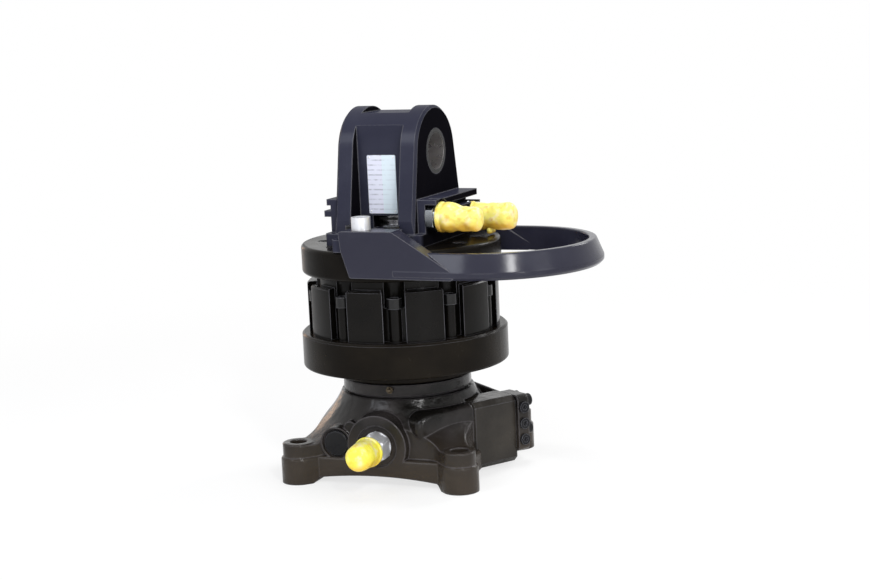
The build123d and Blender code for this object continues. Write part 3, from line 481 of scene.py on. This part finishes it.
@dataclass(frozen=True)
class RuledPlate:
    """Pale plate with blank rows and a painted reflection that makes its +x side lighter and bluer
    and fades the rows there; nothing is written in them.
    """

    name: str
    colour: Colour
    line: Colour
    reflection_tint: Colour
    row: float = 0.0047
    row_share: float = 0.28
    # Painted reflection on the +x side: where it starts, how much it tints, and how far it fades
    # the rows.
    reflection_from: float = 0.0005
    reflection_share: float = 0.8
    reflection_fade: float = 0.7
    gaps: Layer = Layer(0.0045, 2, (0.2, 0.6, 0.1))
    gaps_from: Stops = ((0.38, 0.05), (0.62, 0.6))
    clouds: Layer = Layer(0.007, 3)
    rough: float = 0.42
    cloud_rough: float = 0.2
    gloss: float = 0.4

    def material(self) -> bpy.types.Material:
        """Builds the plate's material.

        Returns:
            The material.
        """
        shader = Shader(self.name)
        aside, height = (
            shader.node("ShaderNodeSeparateXYZ", None, {0: shader.place()}, axis)
            for axis in (0, 2)
        )
        rows = (height / self.row).math("FRACT").math("LESS_THAN", self.row_share)
        broken = shader.ramp(shader.grain(self.gaps), self.gaps_from)
        # Painted reflection: the +x side is tinted lighter and bluer.
        reflection_side = (aside - self.reflection_from).math("GREATER_THAN", 0.0)
        plain = shader.mix(reflection_side * self.reflection_share, self.colour, self.reflection_tint)
        drawn = rows * broken * (1 - reflection_side * self.reflection_fade)
        return shader.finish(
            Base_Color=shader.mix(drawn, plain, self.line),
            Roughness=self.rough + shader.grain(self.clouds).spread(self.cloud_rough),
            Specular_IOR_Level=self.gloss,
        )


@dataclass(frozen=True)
class Plastic:
    """Soft plastic: paler in random patches, a deeper tone in random spots, and painted shade in
    that tone on its underside.
    """

    name: str
    colour: Colour
    pale: Colour
    deep_tone_and_shade: Colour
    rough: float
    clouds: Layer = Layer(0.008, 3)
    pale_from: Stops = ((0.5, 0.0), (0.68, 0.8))
    cloud_rough: float = 0.15
    spots: Layer = Layer(0.0064, 2, (0.4, 0.9, 0.3))
    deep_from: Stops = ((0.52, 0.0), (0.7, 1.0))
    deep_share: float = 0.6
    # Painted shade on the underside: where it starts and how much.
    underside_shade_from: Stops = ((0.5, 0.0), (0.78, 1.0))
    underside_shade_share: float = 0.85
    dimples: Relief = Relief(Layer(0.008, 3), 0.0004, 0.3)
    gloss: float = 0.35

    def material(self) -> bpy.types.Material:
        """Builds the plastic's material.

        Returns:
            The material.
        """
        shader = Shader(self.name)
        clouds = shader.grain(self.clouds)
        # Painted shade: surfaces that face down are mixed towards the deep tone.
        under = shader.ramp(0.5 - shader.facing(2) * 0.5, self.underside_shade_from) * self.underside_shade_share
        colour = shader.mix(shader.ramp(clouds, self.pale_from), self.colour, self.pale)
        toned = shader.ramp(shader.grain(self.spots), self.deep_from) * self.deep_share
        return shader.finish(
            Base_Color=shader.mix(toned.math("MAXIMUM", under), colour, self.deep_tone_and_shade),
            Roughness=self.rough + clouds.spread(self.cloud_rough),
            Normal=shader.relief(self.dimples),
            Specular_IOR_Level=self.gloss,
        )


@dataclass(frozen=True)
class Rubber:
    """Dull seal rubber."""

    name: str
    colour: Colour
    pale_times: float = 1.6
    clouds: Layer = Layer(0.003, 3)
    rough: float = 0.6
    cloud_rough: float = 0.2

    def material(self) -> bpy.types.Material:
        """Builds the rubber's material.

        Returns:
            The material.
        """
        shader = Shader(self.name)
        clouds = shader.grain(self.clouds)
        pale = tuple(self.pale_times * level for level in self.colour)
        return shader.finish(
            Base_Color=shader.mix(clouds, self.colour, pale),
            Roughness=self.rough + clouds.spread(self.cloud_rough),
        )


FINISHES = {
    "hanger_paint": Paint(
        "hanger_paint", (0.020, 0.020, 0.034), (0.040, 0.042, 0.060), 0.20, Skin.TURNED,
        gloss=0.24, edge=0.0018,
    ),
    "casing_paint": Paint(
        "casing_paint", (0.006, 0.0045, 0.003), (0.022, 0.017, 0.011), 0.24, Skin.TURNED,
        gloss=0.07,
    ),
    "head_paint": Paint(
        "head_paint", (0.005, 0.0045, 0.004), (0.052, 0.045, 0.044), 0.19, Skin.CAST,
        # Its pale edge colour is a painted highlight, and it turns browner towards the bottom.
        dust_share=0.55, gloss=0.2, edge=0.003, edge_highlight_share=0.5, edge_highlight=(0.14, 0.13, 0.14),
        low_brown=(0.040, 0.031, 0.023),
    ),
    "dark_screw": Paint(
        "dark_screw", (0.010, 0.010, 0.011), (0.04, 0.04, 0.04), 0.3, Skin.PLAIN
    ),
    "bare_plate": RuledPlate(
        "bare_plate", (0.74, 0.76, 0.88), (0.30, 0.31, 0.38), (0.70, 0.82, 0.88)
    ),
    STEEL_SLOT: Metal(
        STEEL_SLOT, (0.78, 0.79, 0.82), (0.50, 0.49, 0.46), 0.36, metallic=0.55
    ),
    "bush_bronze": Metal("bush_bronze", (0.55, 0.38, 0.18), (0.30, 0.20, 0.09), 0.35),
    "machined_steel": Metal("machined_steel", (0.52, 0.52, 0.54), (0.35, 0.34, 0.33), 0.28),
    "seal_rubber": Rubber("seal_rubber", (0.02, 0.02, 0.02)),
    "upper_cap_plastic": Plastic(
        "upper_cap_plastic", (0.98, 0.88, 0.20), (0.99, 0.86, 0.56), (0.80, 0.42, 0.03), 0.35
    ),
    "lower_cap_plastic": Plastic(
        "lower_cap_plastic", (0.98, 0.90, 0.10), (0.98, 0.92, 0.55), (0.95, 0.62, 0.04), 0.28
    ),
}
# Painted shade: a darker copy of the plated steel for the upper fittings, which sit in shade under
# the caps and the hanger.
SHADED_INLET_STEEL = Metal("inlet_steel_painted_shade", (0.34, 0.36, 0.38), (0.22, 0.22, 0.22), 0.24)
SPECIAL_FINISHES = {
    # Painted shade: the bracket's faces along x are painted near-black.
    "hanger_bracket": Paint(
        "bracket_paint", (0.024, 0.025, 0.043), (0.048, 0.050, 0.074), 0.24, Skin.CAST,
        gloss=0.0, edge=0.0022, side_shade=0.88, coat=0.25,
    ),
    # Painted shade: the bushes' end faces, along x, are painted near-black.
    "lug_bushes": Metal(
        "bush_steel_painted_shade", (0.50, 0.48, 0.48), (0.30, 0.28, 0.28), 0.30, metallic=0.9,
        side_shade=0.99,
    ),
    "stator": Paint(
        "stator_paint", (0.0035, 0.003, 0.0025), (0.012, 0.010, 0.008), 0.22, Skin.TURNED
    ),
    "stator_screws": Paint(
        "stator_screw_black", (0.006, 0.006, 0.006), (0.02, 0.02, 0.02), 0.2, Skin.PLAIN,
        gloss=0.3,
    ),
    "valve_plugs": Paint(
        "valve_plug_black", (0.008, 0.008, 0.010), (0.03, 0.03, 0.03), 0.25, Skin.PLAIN
    ),
    "upper_cover": Paint(
        "cover_paint", (0.005, 0.004, 0.003), (0.018, 0.015, 0.012), 0.24, Skin.TURNED,
        gloss=0.06,
    ),
    "grease_nipple": Metal("nipple_brass", (0.10, 0.08, 0.055), (0.05, 0.04, 0.03), 0.4),
    "front_inlet_adapter": SHADED_INLET_STEEL,
    "rear_inlet_adapter": SHADED_INLET_STEEL,
    "valve_block": Paint(
        "valve_paint", (0.022, 0.019, 0.016), (0.075, 0.065, 0.052), 0.22, Skin.CAST,
        gloss=0.2, edge=0.002,
    ),
}


class Finishes:
    """All materials: one for each slot of the record, and some nodes' own."""

    def __init__(self) -> None:
        """Builds each material once."""
        self.made = {slot: finish.material() for slot, finish in FINISHES.items()}
        own = {finish: finish.material() for finish in dict.fromkeys(SPECIAL_FINISHES.values())}
        self.special = {node: own[finish] for node, finish in SPECIAL_FINISHES.items()}

    def dress_frame(self) -> None:
        """Gives each CAD node the material of its slot."""
        for entry in frame["record"]["subparts"]:
            body = frame["nodes"][entry["node"]]
            body.data.materials.clear()
            made = self.special.get(entry["node"], self.made[entry["material_slot"]])
            body.data.materials.append(made)
            log.info("%s dressed as %s", entry["node"], entry["material_slot"])


class Builder:
    """Collects the closed shells of one piece and turns them into an object."""

    def __init__(self, name: str) -> None:
        """Starts an empty piece.

        Args:
            name: the piece's name.
        """
        self.name = name
        self.points: list[Vector] = []
        self.faces: list[tuple[int, ...]] = []

    def rings(self, rings: list[list[Vector]], closed: bool) -> None:
        """Adds a shell that runs through rings of points.

        Args:
            rings: the rings, each with as many points.
            closed: joins the last ring to the first, as round a hole; else both ends get a cap.
        """
        base = len(self.points)
        count = len(rings[0])
        for ring in rings:
            self.points.extend(ring)
        spans = len(rings) if closed else len(rings) - 1
        for span in range(spans):
            here = base + span * count
            there = base + (span + 1) % len(rings) * count
            for turn in range(count):
                after = (turn + 1) % count
                self.faces.append((here + turn, here + after, there + after, there + turn))
        if not closed:
            self.faces.append(tuple(base + turn for turn in reversed(range(count))))
            self.faces.append(tuple(base + spans * count + turn for turn in range(count)))

    def block(self, low: Vector, top: Vector, edge: float) -> None:
        """Adds an upright block with all its edges chamfered.

        Args:
            low: its lowest corner.
            top: its highest corner.
            edge: size of the chamfers.
        """
        rings = []
        levels = ((low.z, edge), (low.z + edge, 0), (top.z - edge, 0), (top.z, edge))
        for level, inset in levels:
            x_a, x_b, y_a, y_b = low.x + inset, top.x - inset, low.y + inset, top.y - inset
            rings.append([
                Vector((x_a + edge, y_a, level)), Vector((x_b - edge, y_a, level)),
                Vector((x_b, y_a + edge, level)), Vector((x_b, y_b - edge, level)),
                Vector((x_b - edge, y_b, level)), Vector((x_a + edge, y_b, level)),
                Vector((x_a, y_b - edge, level)), Vector((x_a, y_a + edge, level)),
            ])
        self.rings(rings, False)

    def make(
        self, material: bpy.types.Material, body: str, smooth: float
    ) -> bpy.types.Object:
        """Makes the object, dresses it and lets it ride.

        Args:
            material: its finish.
            body: the body that it rides on.
            smooth: angle in degrees below which an edge is smooth.

        Returns:
            The new object.
        """
        mesh = bpy.data.meshes.new(self.name)
        mesh.from_pydata([tuple(point) for point in self.points], [], self.faces)
        mesh.update()
        work = bmesh.new()
        work.from_mesh(mesh)
        bmesh.ops.recalc_face_normals(work, faces=work.faces)
        for edge in work.edges:
            sharp = len(edge.link_faces) == 2 and edge.calc_face_angle(0) > math.radians(smooth)
            edge.smooth = not sharp
        for face in work.faces:
            face.smooth = True
        work.to_mesh(mesh)
        work.free()
        mesh.materials.append(material)
        piece = bpy.data.objects.new(self.name, mesh)
        bpy.context.scene.collection.objects.link(piece)
        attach(piece, body)
        log.info("%s built, %d faces, on %s", self.name, len(mesh.polygons), body)
        return piece


def curve_through(points: Profile, step: float) -> list[tuple[float, float]]:
    """Smooth curve through points.

    Args:
        points: the points, in order.
        step: longest distance between the points of the result.

    Returns:
        Points along the curve.
    """
    curve = []
    for count in range(len(points) - 1):
        before, start, end, after = (
            Vector(points[min(max(count + shift, 0), len(points) - 1)]) for shift in (-1, 0, 1, 2)
        )
        parts = max(1, math.ceil((end - start).length / step))
        for part in range(parts):
            along = part / parts
            bend = (
                2 * start
                + (end - before) * along
                + (2 * before - 5 * start + 4 * end - after) * along**2
                + (3 * start - before - 3 * end + after) * along**3
            )
            curve.append(tuple(bend / 2))
    curve.append(points[-1])
    return curve


@dataclass
class HoseLine:
    """One hose connection: where it starts and which way it points."""

    origin: Vector
    direction: Vector

    def ring(self, along: float, radius: float, count: int, sag: float = 0.0) -> list[Vector]:
        """Ring of points round the line.

        Args:
            along: distance from the start, in millimetres.
            radius: the ring's radius, in millimetres.
            count: how many points it has.
            sag: how far it hangs below the line, in millimetres.

        Returns:
            The points, in metres.
        """
        up = Vector((0, 0, 1))
        side = self.direction.cross(up)
        centre = self.origin + self.direction * along - up * sag
        ring = []
        for turn in range(count):
            angle = math.tau * turn / count
            ring.append((centre + (side * math.cos(angle) + up * math.sin(angle)) * radius) * MM)
        return ring


@dataclass
class HoseCap:
    """Soft cap over a hose thread, with the dents that handling left in it.

    Its outline gives radii and its sags give drops, each at a distance from the lip.
    """

    name: str
    node: str
    line: HoseLine
    lip: float
    outline: Profile
    sags: Profile
    dents: float
    seed: float
    slot: str
    tab: tuple[Place, Place] | None = None
    tab_edge: float = 1.2
    bore_r: float = 10.6
    bore_l: float = 17.0
    mouth: float = 0.3
    least_r: float = 0.4
    step: float = 0.9
    round_l: float = 5.0
    growing_l: float = 5.0
    tip_l: float = 4.0
    tip_share: float = 0.25
    wave: float = 9.0
    ripple: float = 4.0
    ripple_share: float = 0.45
    around: int = 80
    smooth: float = 50.0

    def sag_at(self, along: float) -> float:
        """How far the cap hangs below its thread.

        Args:
            along: distance from the lip.

        Returns:
            The drop.
        """
        for (start, low), (end, high) in zip(self.sags, self.sags[1:]):
            if along <= end:
                share = max(0.0, (along - start) / (end - start))
                return low + (high - low) * share * share * (3 - 2 * share)
        return self.sags[-1][1]

    def dent_share(self, along: float) -> float:
        """How strongly the cap is dented: not at the lip, and less at the tip.

        Args:
            along: distance from the lip.

        Returns:
            A share of the full dents.
        """
        from_lip = max(0.0, (along - self.round_l) / self.growing_l)
        from_tip = (self.outline[-1][0] - along) / self.tip_l + self.tip_share
        return min(1.0, from_lip) * min(1.0, from_tip)

    def dented(self, ring: list[Vector], share: float) -> list[Vector]:
        """Moves a ring's points in and out.

        Args:
            ring: the points, in metres.
            share: share of the full dents.

        Returns:
            The moved points.
        """
        centre = sum(ring, Vector()) / len(ring)
        moved = []
        for point in ring:
            depth = noise.noise(point / (self.wave * MM) + Vector((self.seed, 0, 0)))
            finer = noise.noise(point / (self.ripple * MM) + Vector((0, self.seed, 0)))
            depth += self.ripple_share * finer
            away = (point - centre).normalized()
            moved.append(point + away * depth * share * self.dents * MM)
        return moved

    def build(self, finishes: Finishes) -> None:
        """Builds the cap and puts it in place of the plain one.

        Args:
            finishes: the materials.
        """
        builder = Builder(self.name)
        rings = [self.line.ring(self.lip + self.bore_l, self.least_r, self.around)]
        for along in (self.bore_l, self.bore_l * 0.5, self.mouth):
            rings.append(self.line.ring(self.lip + along, self.bore_r, self.around))
        rings.append(self.line.ring(self.lip, self.bore_r + self.mouth, self.around))
        for along, radius in curve_through(self.outline, self.step):
            place, size = self.lip + along, max(radius, self.least_r)
            ring = self.line.ring(place, size, self.around, self.sag_at(along))
            rings.append(self.dented(ring, self.dent_share(along)))
        builder.rings(rings, False)
        if self.tab:
            low, top = (Vector(corner) * MM for corner in self.tab)
            builder.block(low, top, self.tab_edge * MM)
        piece = builder.make(finishes.made[self.slot], self.node, self.smooth)
        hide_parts(self.node)


@dataclass
class Thread:
    """Hose thread: a ridge that winds round the plain shank."""

    root_r: float = 10.0
    crest_r: float = 10.48
    pitch: float = 1.814
    steps: int = 6
    steepness: float = 1.35
    run_out: float = 1.5
    around: int = 72

    def add(
        self, builder: Builder, line: HoseLine, start: float, end: float, core_r: float
    ) -> None:
        """Adds the thread to a piece as a tube whose outside is ridged.

        Args:
            builder: the piece.
            line: the thread's axis.
            start: where it starts along the line.
            end: where it ends.
            core_r: radius of the tube's inside.
        """
        steps = round((end - start) / (self.pitch / self.steps))
        depth = self.crest_r - self.root_r
        rings = []
        for step in range(steps + 1):
            along = start + (end - start) * step / steps
            ends = min(1.0, (along - start) / self.run_out, (end - along) / self.run_out)
            centre = line.origin + line.direction * along
            ring = []
            for turn, point in enumerate(line.ring(along, 1.0, self.around)):
                phase = along / self.pitch - turn / self.around
                ridge = 1 - abs(2 * (phase - math.floor(phase)) - 1)
                radius = self.root_r + depth * min(1.0, ridge * self.steepness) * ends
                ring.append((centre + (point / MM - centre) * radius) * MM)
            rings.append(ring)
        rings.append(line.ring(end, core_r, self.around))
        rings.append(line.ring(start, core_r, self.around))
        builder.rings(rings, True)


@dataclass
class InletThread:
    """Ridges on the shank of an upper fitting, which stays the CAD's."""

    name: str
    line: HoseLine
    thread: Thread
    start: float = 12.0
    end: float = 23.8
    core_r: float = 9.0
    smooth: float = 30.0

    def build(self, finishes: Finishes) -> None:
        """Builds the ridges.

        Args:
            finishes: the materials.
        """
        builder = Builder(self.name)
        self.thread.add(builder, self.line, self.start, self.end, self.core_r)
        builder.make(finishes.made[STEEL_SLOT], HOUSING, self.smooth)


@dataclass
class OutletFitting:
    """Lower fitting: stud, washer, hexagon, collar and ridged thread, bored through."""

    name: str
    node: str
    line: HoseLine
    thread: Thread
    seat: float = 83.0
    stud_l: float = 12.0
    stud_r: float = 9.4
    washer_t: float = 1.6
    washer_r: float = 14.2
    hex_end: float = 102.0
    hex_af: float = 27.0
    chamfer_l: float = 1.0
    chamfer_r: float = 1.5
    collar_l: float = 1.5
    collar_r: float = 14.0
    collar_edge_l: float = 0.1
    collar_edge_r: float = 0.2
    thread_end: float = 119.0
    bore_r: float = 5.5
    around: int = 72
    smooth: float = 30.0

    def hexagon(self, along: float, cut_r: float) -> list[Vector]:
        """Hexagon with its corners turned off at a radius.

        Args:
            along: distance from the line's start.
            cut_r: radius of the turning.

        Returns:
            Its points, in metres.
        """
        points = []
        centre = (self.line.origin + self.line.direction * along) * MM
        for turn, point in enumerate(self.line.ring(along, 1.0, self.around)):
            angle = math.tau * turn / self.around
            off_flat = (angle + math.tau / 12) % (math.tau / 6) - math.tau / 12
            flat_r = self.hex_af / 2 / math.cos(off_flat)
            points.append(centre + (point - centre) * min(flat_r, cut_r))
        return points

    def build(self, finishes: Finishes) -> None:
        """Builds the fitting and puts it in place of the plain one.

        Args:
            finishes: the materials.
        """
        inner = self.seat - self.stud_l
        low, top = self.seat + self.washer_t, self.hex_end
        corner_r = self.hex_af / math.sqrt(3)
        collar = top + self.collar_l
        hexagon = (
            (low, corner_r - self.chamfer_r), (low + self.chamfer_l, corner_r),
            (top - self.chamfer_l, corner_r), (top, corner_r - self.chamfer_r),
        )
        below = (
            (inner, self.bore_r), (inner, self.stud_r), (self.seat, self.stud_r),
            (self.seat, self.washer_r), (low, self.washer_r),
        )
        above = (
            (top, self.collar_r), (collar - self.collar_edge_l, self.collar_r),
            (collar, self.collar_r - self.collar_edge_r), (collar, self.stud_r),
            (collar, self.bore_r),
        )
        rings = [self.line.ring(along, radius, self.around) for along, radius in below]
        rings += [self.hexagon(along, radius) for along, radius in hexagon]
        rings += [self.line.ring(along, radius, self.around) for along, radius in above]
        builder = Builder(self.name)
        builder.rings(rings, True)
        self.thread.add(builder, self.line, collar, self.thread_end, self.bore_r)
        piece = builder.make(finishes.made[STEEL_SLOT], LOWER_HEAD, self.smooth)
        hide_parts(self.node)


@dataclass
class PlateRivets:
    """Four small rivets that hold the plate."""

    centre: Place = (0, -34.8, 283)
    half_x: float = 12.8
    half_z: float = 25.8
    radius: float = 1.1
    height: float = 0.5
    sink: float = 0.4
    steps: int = 6
    around: int = 20
    smooth: float = 40.0

    def build(self, finishes: Finishes) -> None:
        """Builds the rivets as one piece.

        Args:
            finishes: the materials.
        """
        builder = Builder("plate_rivets")
        outward = Vector((0, -1, 0))
        for side in (-1, 1):
            for level in (-1, 1):
                corner = Vector((side * self.half_x, 0, level * self.half_z))
                line = HoseLine(Vector(self.centre) + corner, outward)
                rings = [line.ring(-self.sink, self.radius, self.around)]
                for step in range(self.steps):
                    angle = math.pi / 2 * step / self.steps
                    out, radius = self.height * math.sin(angle), self.radius * math.cos(angle)
                    rings.append(line.ring(out, radius, self.around))
                builder.rings(rings, False)
        builder.make(finishes.made[STEEL_SLOT], HOUSING, self.smooth)


LIP = ((0, 13.9), (0.6, 14.5), (3.2, 14.5), (4.6, 13.6))
FRONT_INLET_CAP = LIP + (
    (8, 14.4), (12, 14.3), (17, 12.9), (22, 11.8), (29, 11.5), (35, 11.7), (39, 10.9), (41, 8.4),
    (41.5, 4.5), (41.5, 0),
)
FRONT_INLET_SAGS = ((0, 0), (16, 0), (24, 1.7), (42, 1.9))
REAR_INLET_CAP = LIP + (
    (10, 13.5), (20, 12.6), (30, 13.2), (38, 13.4), (42, 12.9), (45, 11.2), (46.2, 8.6),
    (46.5, 5), (46.5, 0),
)
OUTLET_CAP = LIP + (
    (9, 13.4), (18, 13.1), (25, 12.6), (29.5, 11), (32.2, 8), (33.4, 4.2), (33.7, 0),
)
STRAIGHT = ((0, 0), (1, 0))


@dataclass
class HoseConnections:
    """The four hose connections: fittings, threads and caps, set out where the CAD has them."""

    inlet_x: float = 50.0
    inlet_y: float = 36.0
    front_inlet_z: float = 252.5
    rear_inlet_z: float = 244.0
    outlet_z: float = 38.5
    outlet_way: Place = (0.061049, -0.998135, 0)
    inlet_lip: float = 9.8
    outlet_lip: float = 104.0
    rear_tab: tuple[Place, Place] = ((78.5, 29.2, 227.2), (83, 42.8, 234))
    outlet_dents: float = 0.45
    outlet_seeds: tuple[float, float] = (5.1, 8.9)

    def build(self, finishes: Finishes) -> None:
        """Builds everything on the four connections.

        Args:
            finishes: the materials.
        """
        thread = Thread()
        sideways = Vector((1, 0, 0))
        front_in = HoseLine(Vector((self.inlet_x, -self.inlet_y, self.front_inlet_z)), sideways)
        rear_in = HoseLine(Vector((self.inlet_x, self.inlet_y, self.rear_inlet_z)), sideways)
        middle = Vector((0, 0, self.outlet_z))
        outlets = {
            "front_outlet": HoseLine(middle, Vector(self.outlet_way)),
            "rear_outlet": HoseLine(middle, -Vector(self.outlet_way)),
        }
        InletThread("front_inlet_thread", front_in, thread).build(finishes)
        InletThread("rear_inlet_thread", rear_in, thread).build(finishes)
        for name, line in outlets.items():
            OutletFitting(f"{name}_fitting", f"{name}_adapter", line, thread).build(finishes)
        HoseCap(
            "front_inlet_cap_moulded", "front_inlet_cap", front_in, self.inlet_lip,
            FRONT_INLET_CAP, FRONT_INLET_SAGS, 0.9, 3.7, "upper_cap_plastic",
        ).build(finishes)
        HoseCap(
            "rear_inlet_cap_moulded", "rear_inlet_cap", rear_in, self.inlet_lip,
            REAR_INLET_CAP, STRAIGHT, 0.8, 11.3, "upper_cap_plastic", self.rear_tab,
        ).build(finishes)
        for (name, line), seed in zip(outlets.items(), self.outlet_seeds):
            HoseCap(
                f"{name}_cap_moulded", f"{name}_cap", line, self.outlet_lip, OUTLET_CAP,
                STRAIGHT, self.outlet_dents, seed, "lower_cap_plastic",
            ).build(finishes)


@dataclass
class Lamp:
    """One rectangular lamp that faces the object."""

    name: str
    place: Place
    width: float
    height: float
    power: float
    colour: Colour = (1.0, 1.0, 1.0)

    def build(self, aim: Vector) -> None:
        """Hangs the lamp.

        Args:
            aim: the point that it faces.
        """
        light = bpy.data.lights.new(self.name, "AREA")
        light.shape = "RECTANGLE"
        light.size = self.width
        light.size_y = self.height
        light.energy = self.power
        light.color = self.colour
        lamp = bpy.data.objects.new(self.name, light)
        lamp.location = self.place
        towards = aim - Vector(self.place)
        lamp.rotation_euler = towards.to_track_quat("-Z", "Y").to_euler()
        bpy.context.scene.collection.objects.link(lamp)


LAMPS = (
    Lamp("key_lamp", (1.10, -1.20, 1.30), 0.20, 0.30, 11),
    Lamp("left_lamp", (-0.85, -1.7, 1.6), 0.9, 0.9, 14, (0.88, 0.92, 1.0)),
    Lamp("front_lamp", (0.45, -2.3, 0.7), 1.0, 0.7, 6),
    Lamp("right_fill", (2.0, -0.6, 0.9), 0.8, 0.8, 5),
    Lamp("top_lamp", (0.1, 0.2, 2.0), 0.4, 0.4, 12),
    Lamp("right_strip", (1.23, -1.03, 0.32), 0.06, 0.3, 2.5),
    Lamp("back_panel", (0.75, 1.35, 1.15), 0.3, 0.5, 9),
    Lamp("warm_strip", (-1.3, 0.95, 0.3), 0.10, 0.5, 0.6, (1.0, 0.6, 0.35)),
)


@dataclass
class Studio:
    """Pale floor, white surroundings, soft lamps and the camera."""

    floor_half: float = 3.0
    clear_from: float = 0.45
    clear_to: float = 1.1
    near_white: float = 0.72
    floor_grey: float = 0.92
    ambient: float = 0.45
    camera_at: Place = (0.7505, -1.5361, 0.4588)
    camera_aim: Place = (0.0281, 0.0131, 0.1734)
    camera_roll: float = math.radians(-2.64)
    lens: float = 73.08
    nearest: float = 0.05

    def build(self) -> None:
        """Builds everything around the object."""
        self.build_floor()
        self.build_world()
        for lamp in LAMPS:
            lamp.build(Vector(self.camera_aim))
        self.build_camera()

    def build_floor(self) -> None:
        """Lays the floor, which turns into the white surroundings away from the object."""
        shader = Shader("studio_floor")
        grey = (self.floor_grey, self.floor_grey, self.floor_grey, 1)
        lit = shader.node("ShaderNodeBsdfDiffuse", None, {"Color": grey})
        white = shader.node("ShaderNodeEmission", None, {"Color": (1, 1, 1, 1), "Strength": 1.0})
        place = {0: shader.place()}
        reach = shader.node("ShaderNodeVectorMath", {"operation": "LENGTH"}, place, 1)
        clear = shader.node(
            "ShaderNodeMapRange",
            {"interpolation_type": "SMOOTHSTEP"},
            {"Value": reach, "From Min": self.clear_from, "From Max": self.clear_to,
             "To Min": self.near_white},
        )
        seen = shader.node("ShaderNodeLightPath", output="Is Camera Ray")
        surface = shader.node("ShaderNodeMixShader", None, {0: clear * seen, 1: lit, 2: white})
        shader.node("ShaderNodeOutputMaterial", None, {"Surface": surface})
        half = self.floor_half
        mesh = bpy.data.meshes.new("floor")
        corners = [(-half, -half, 0), (half, -half, 0), (half, half, 0), (-half, half, 0)]
        mesh.from_pydata(corners, [], [(0, 1, 2, 3)])
        mesh.materials.append(shader.material)
        floor = bpy.data.objects.new("floor", mesh)
        bpy.context.scene.collection.objects.link(floor)

    def build_world(self) -> None:
        """Sets the surroundings: white where they are seen or mirrored, softer as light."""
        world = bpy.data.worlds.new("studio")
        world.use_nodes = True
        tree = world.node_tree
        tree.nodes.clear()
        path = tree.nodes.new("ShaderNodeLightPath")
        seen = path.outputs["Is Camera Ray"]
        for kind in ("Is Glossy Ray", "Is Transmission Ray"):
            either = tree.nodes.new("ShaderNodeMath")
            either.operation = "MAXIMUM"
            tree.links.new(seen, either.inputs[0])
            tree.links.new(path.outputs[kind], either.inputs[1])
            seen = either.outputs[0]
        mixed = tree.nodes.new("ShaderNodeMixShader")
        tree.links.new(seen, mixed.inputs[0])
        for count, level in enumerate((self.ambient, 1.0), 1):
            background = tree.nodes.new("ShaderNodeBackground")
            background.inputs["Color"].default_value = (1, 1, 1, 1)
            background.inputs["Strength"].default_value = level
            tree.links.new(background.outputs[0], mixed.inputs[count])
        output = tree.nodes.new("ShaderNodeOutputWorld")
        tree.links.new(mixed.outputs[0], output.inputs["Surface"])
        bpy.context.scene.world = world

    def build_camera(self) -> None:
        """Places the camera where the photograph was taken."""
        camera = bpy.data.objects.new("camera", bpy.data.cameras.new("camera"))
        camera.data.lens = self.lens
        camera.data.clip_start = self.nearest
        forward = (Vector(self.camera_aim) - Vector(self.camera_at)).normalized()
        right = forward.cross(Vector((0, 0, 1))).normalized()
        up = right.cross(forward)
        level_right = math.cos(self.camera_roll) * right + math.sin(self.camera_roll) * up
        level_up = level_right.cross(forward)
        turn = Matrix((level_right, level_up, -forward)).transposed().to_4x4()
        camera.matrix_world = Matrix.Translation(Vector(self.camera_at)) @ turn
        bpy.context.scene.collection.objects.link(camera)
        bpy.context.scene.camera = camera


def main() -> None:
    """Builds the looks in order."""
    logging.basicConfig(level=logging.INFO, format="%(message)s")
    finishes = Finishes()
    finishes.dress_frame()
    HoseConnections().build(finishes)
    PlateRivets().build(finishes)
    Studio().build()
    bpy.context.scene.view_settings.view_transform = "Standard"


if __name__ == "__main__":
    main()
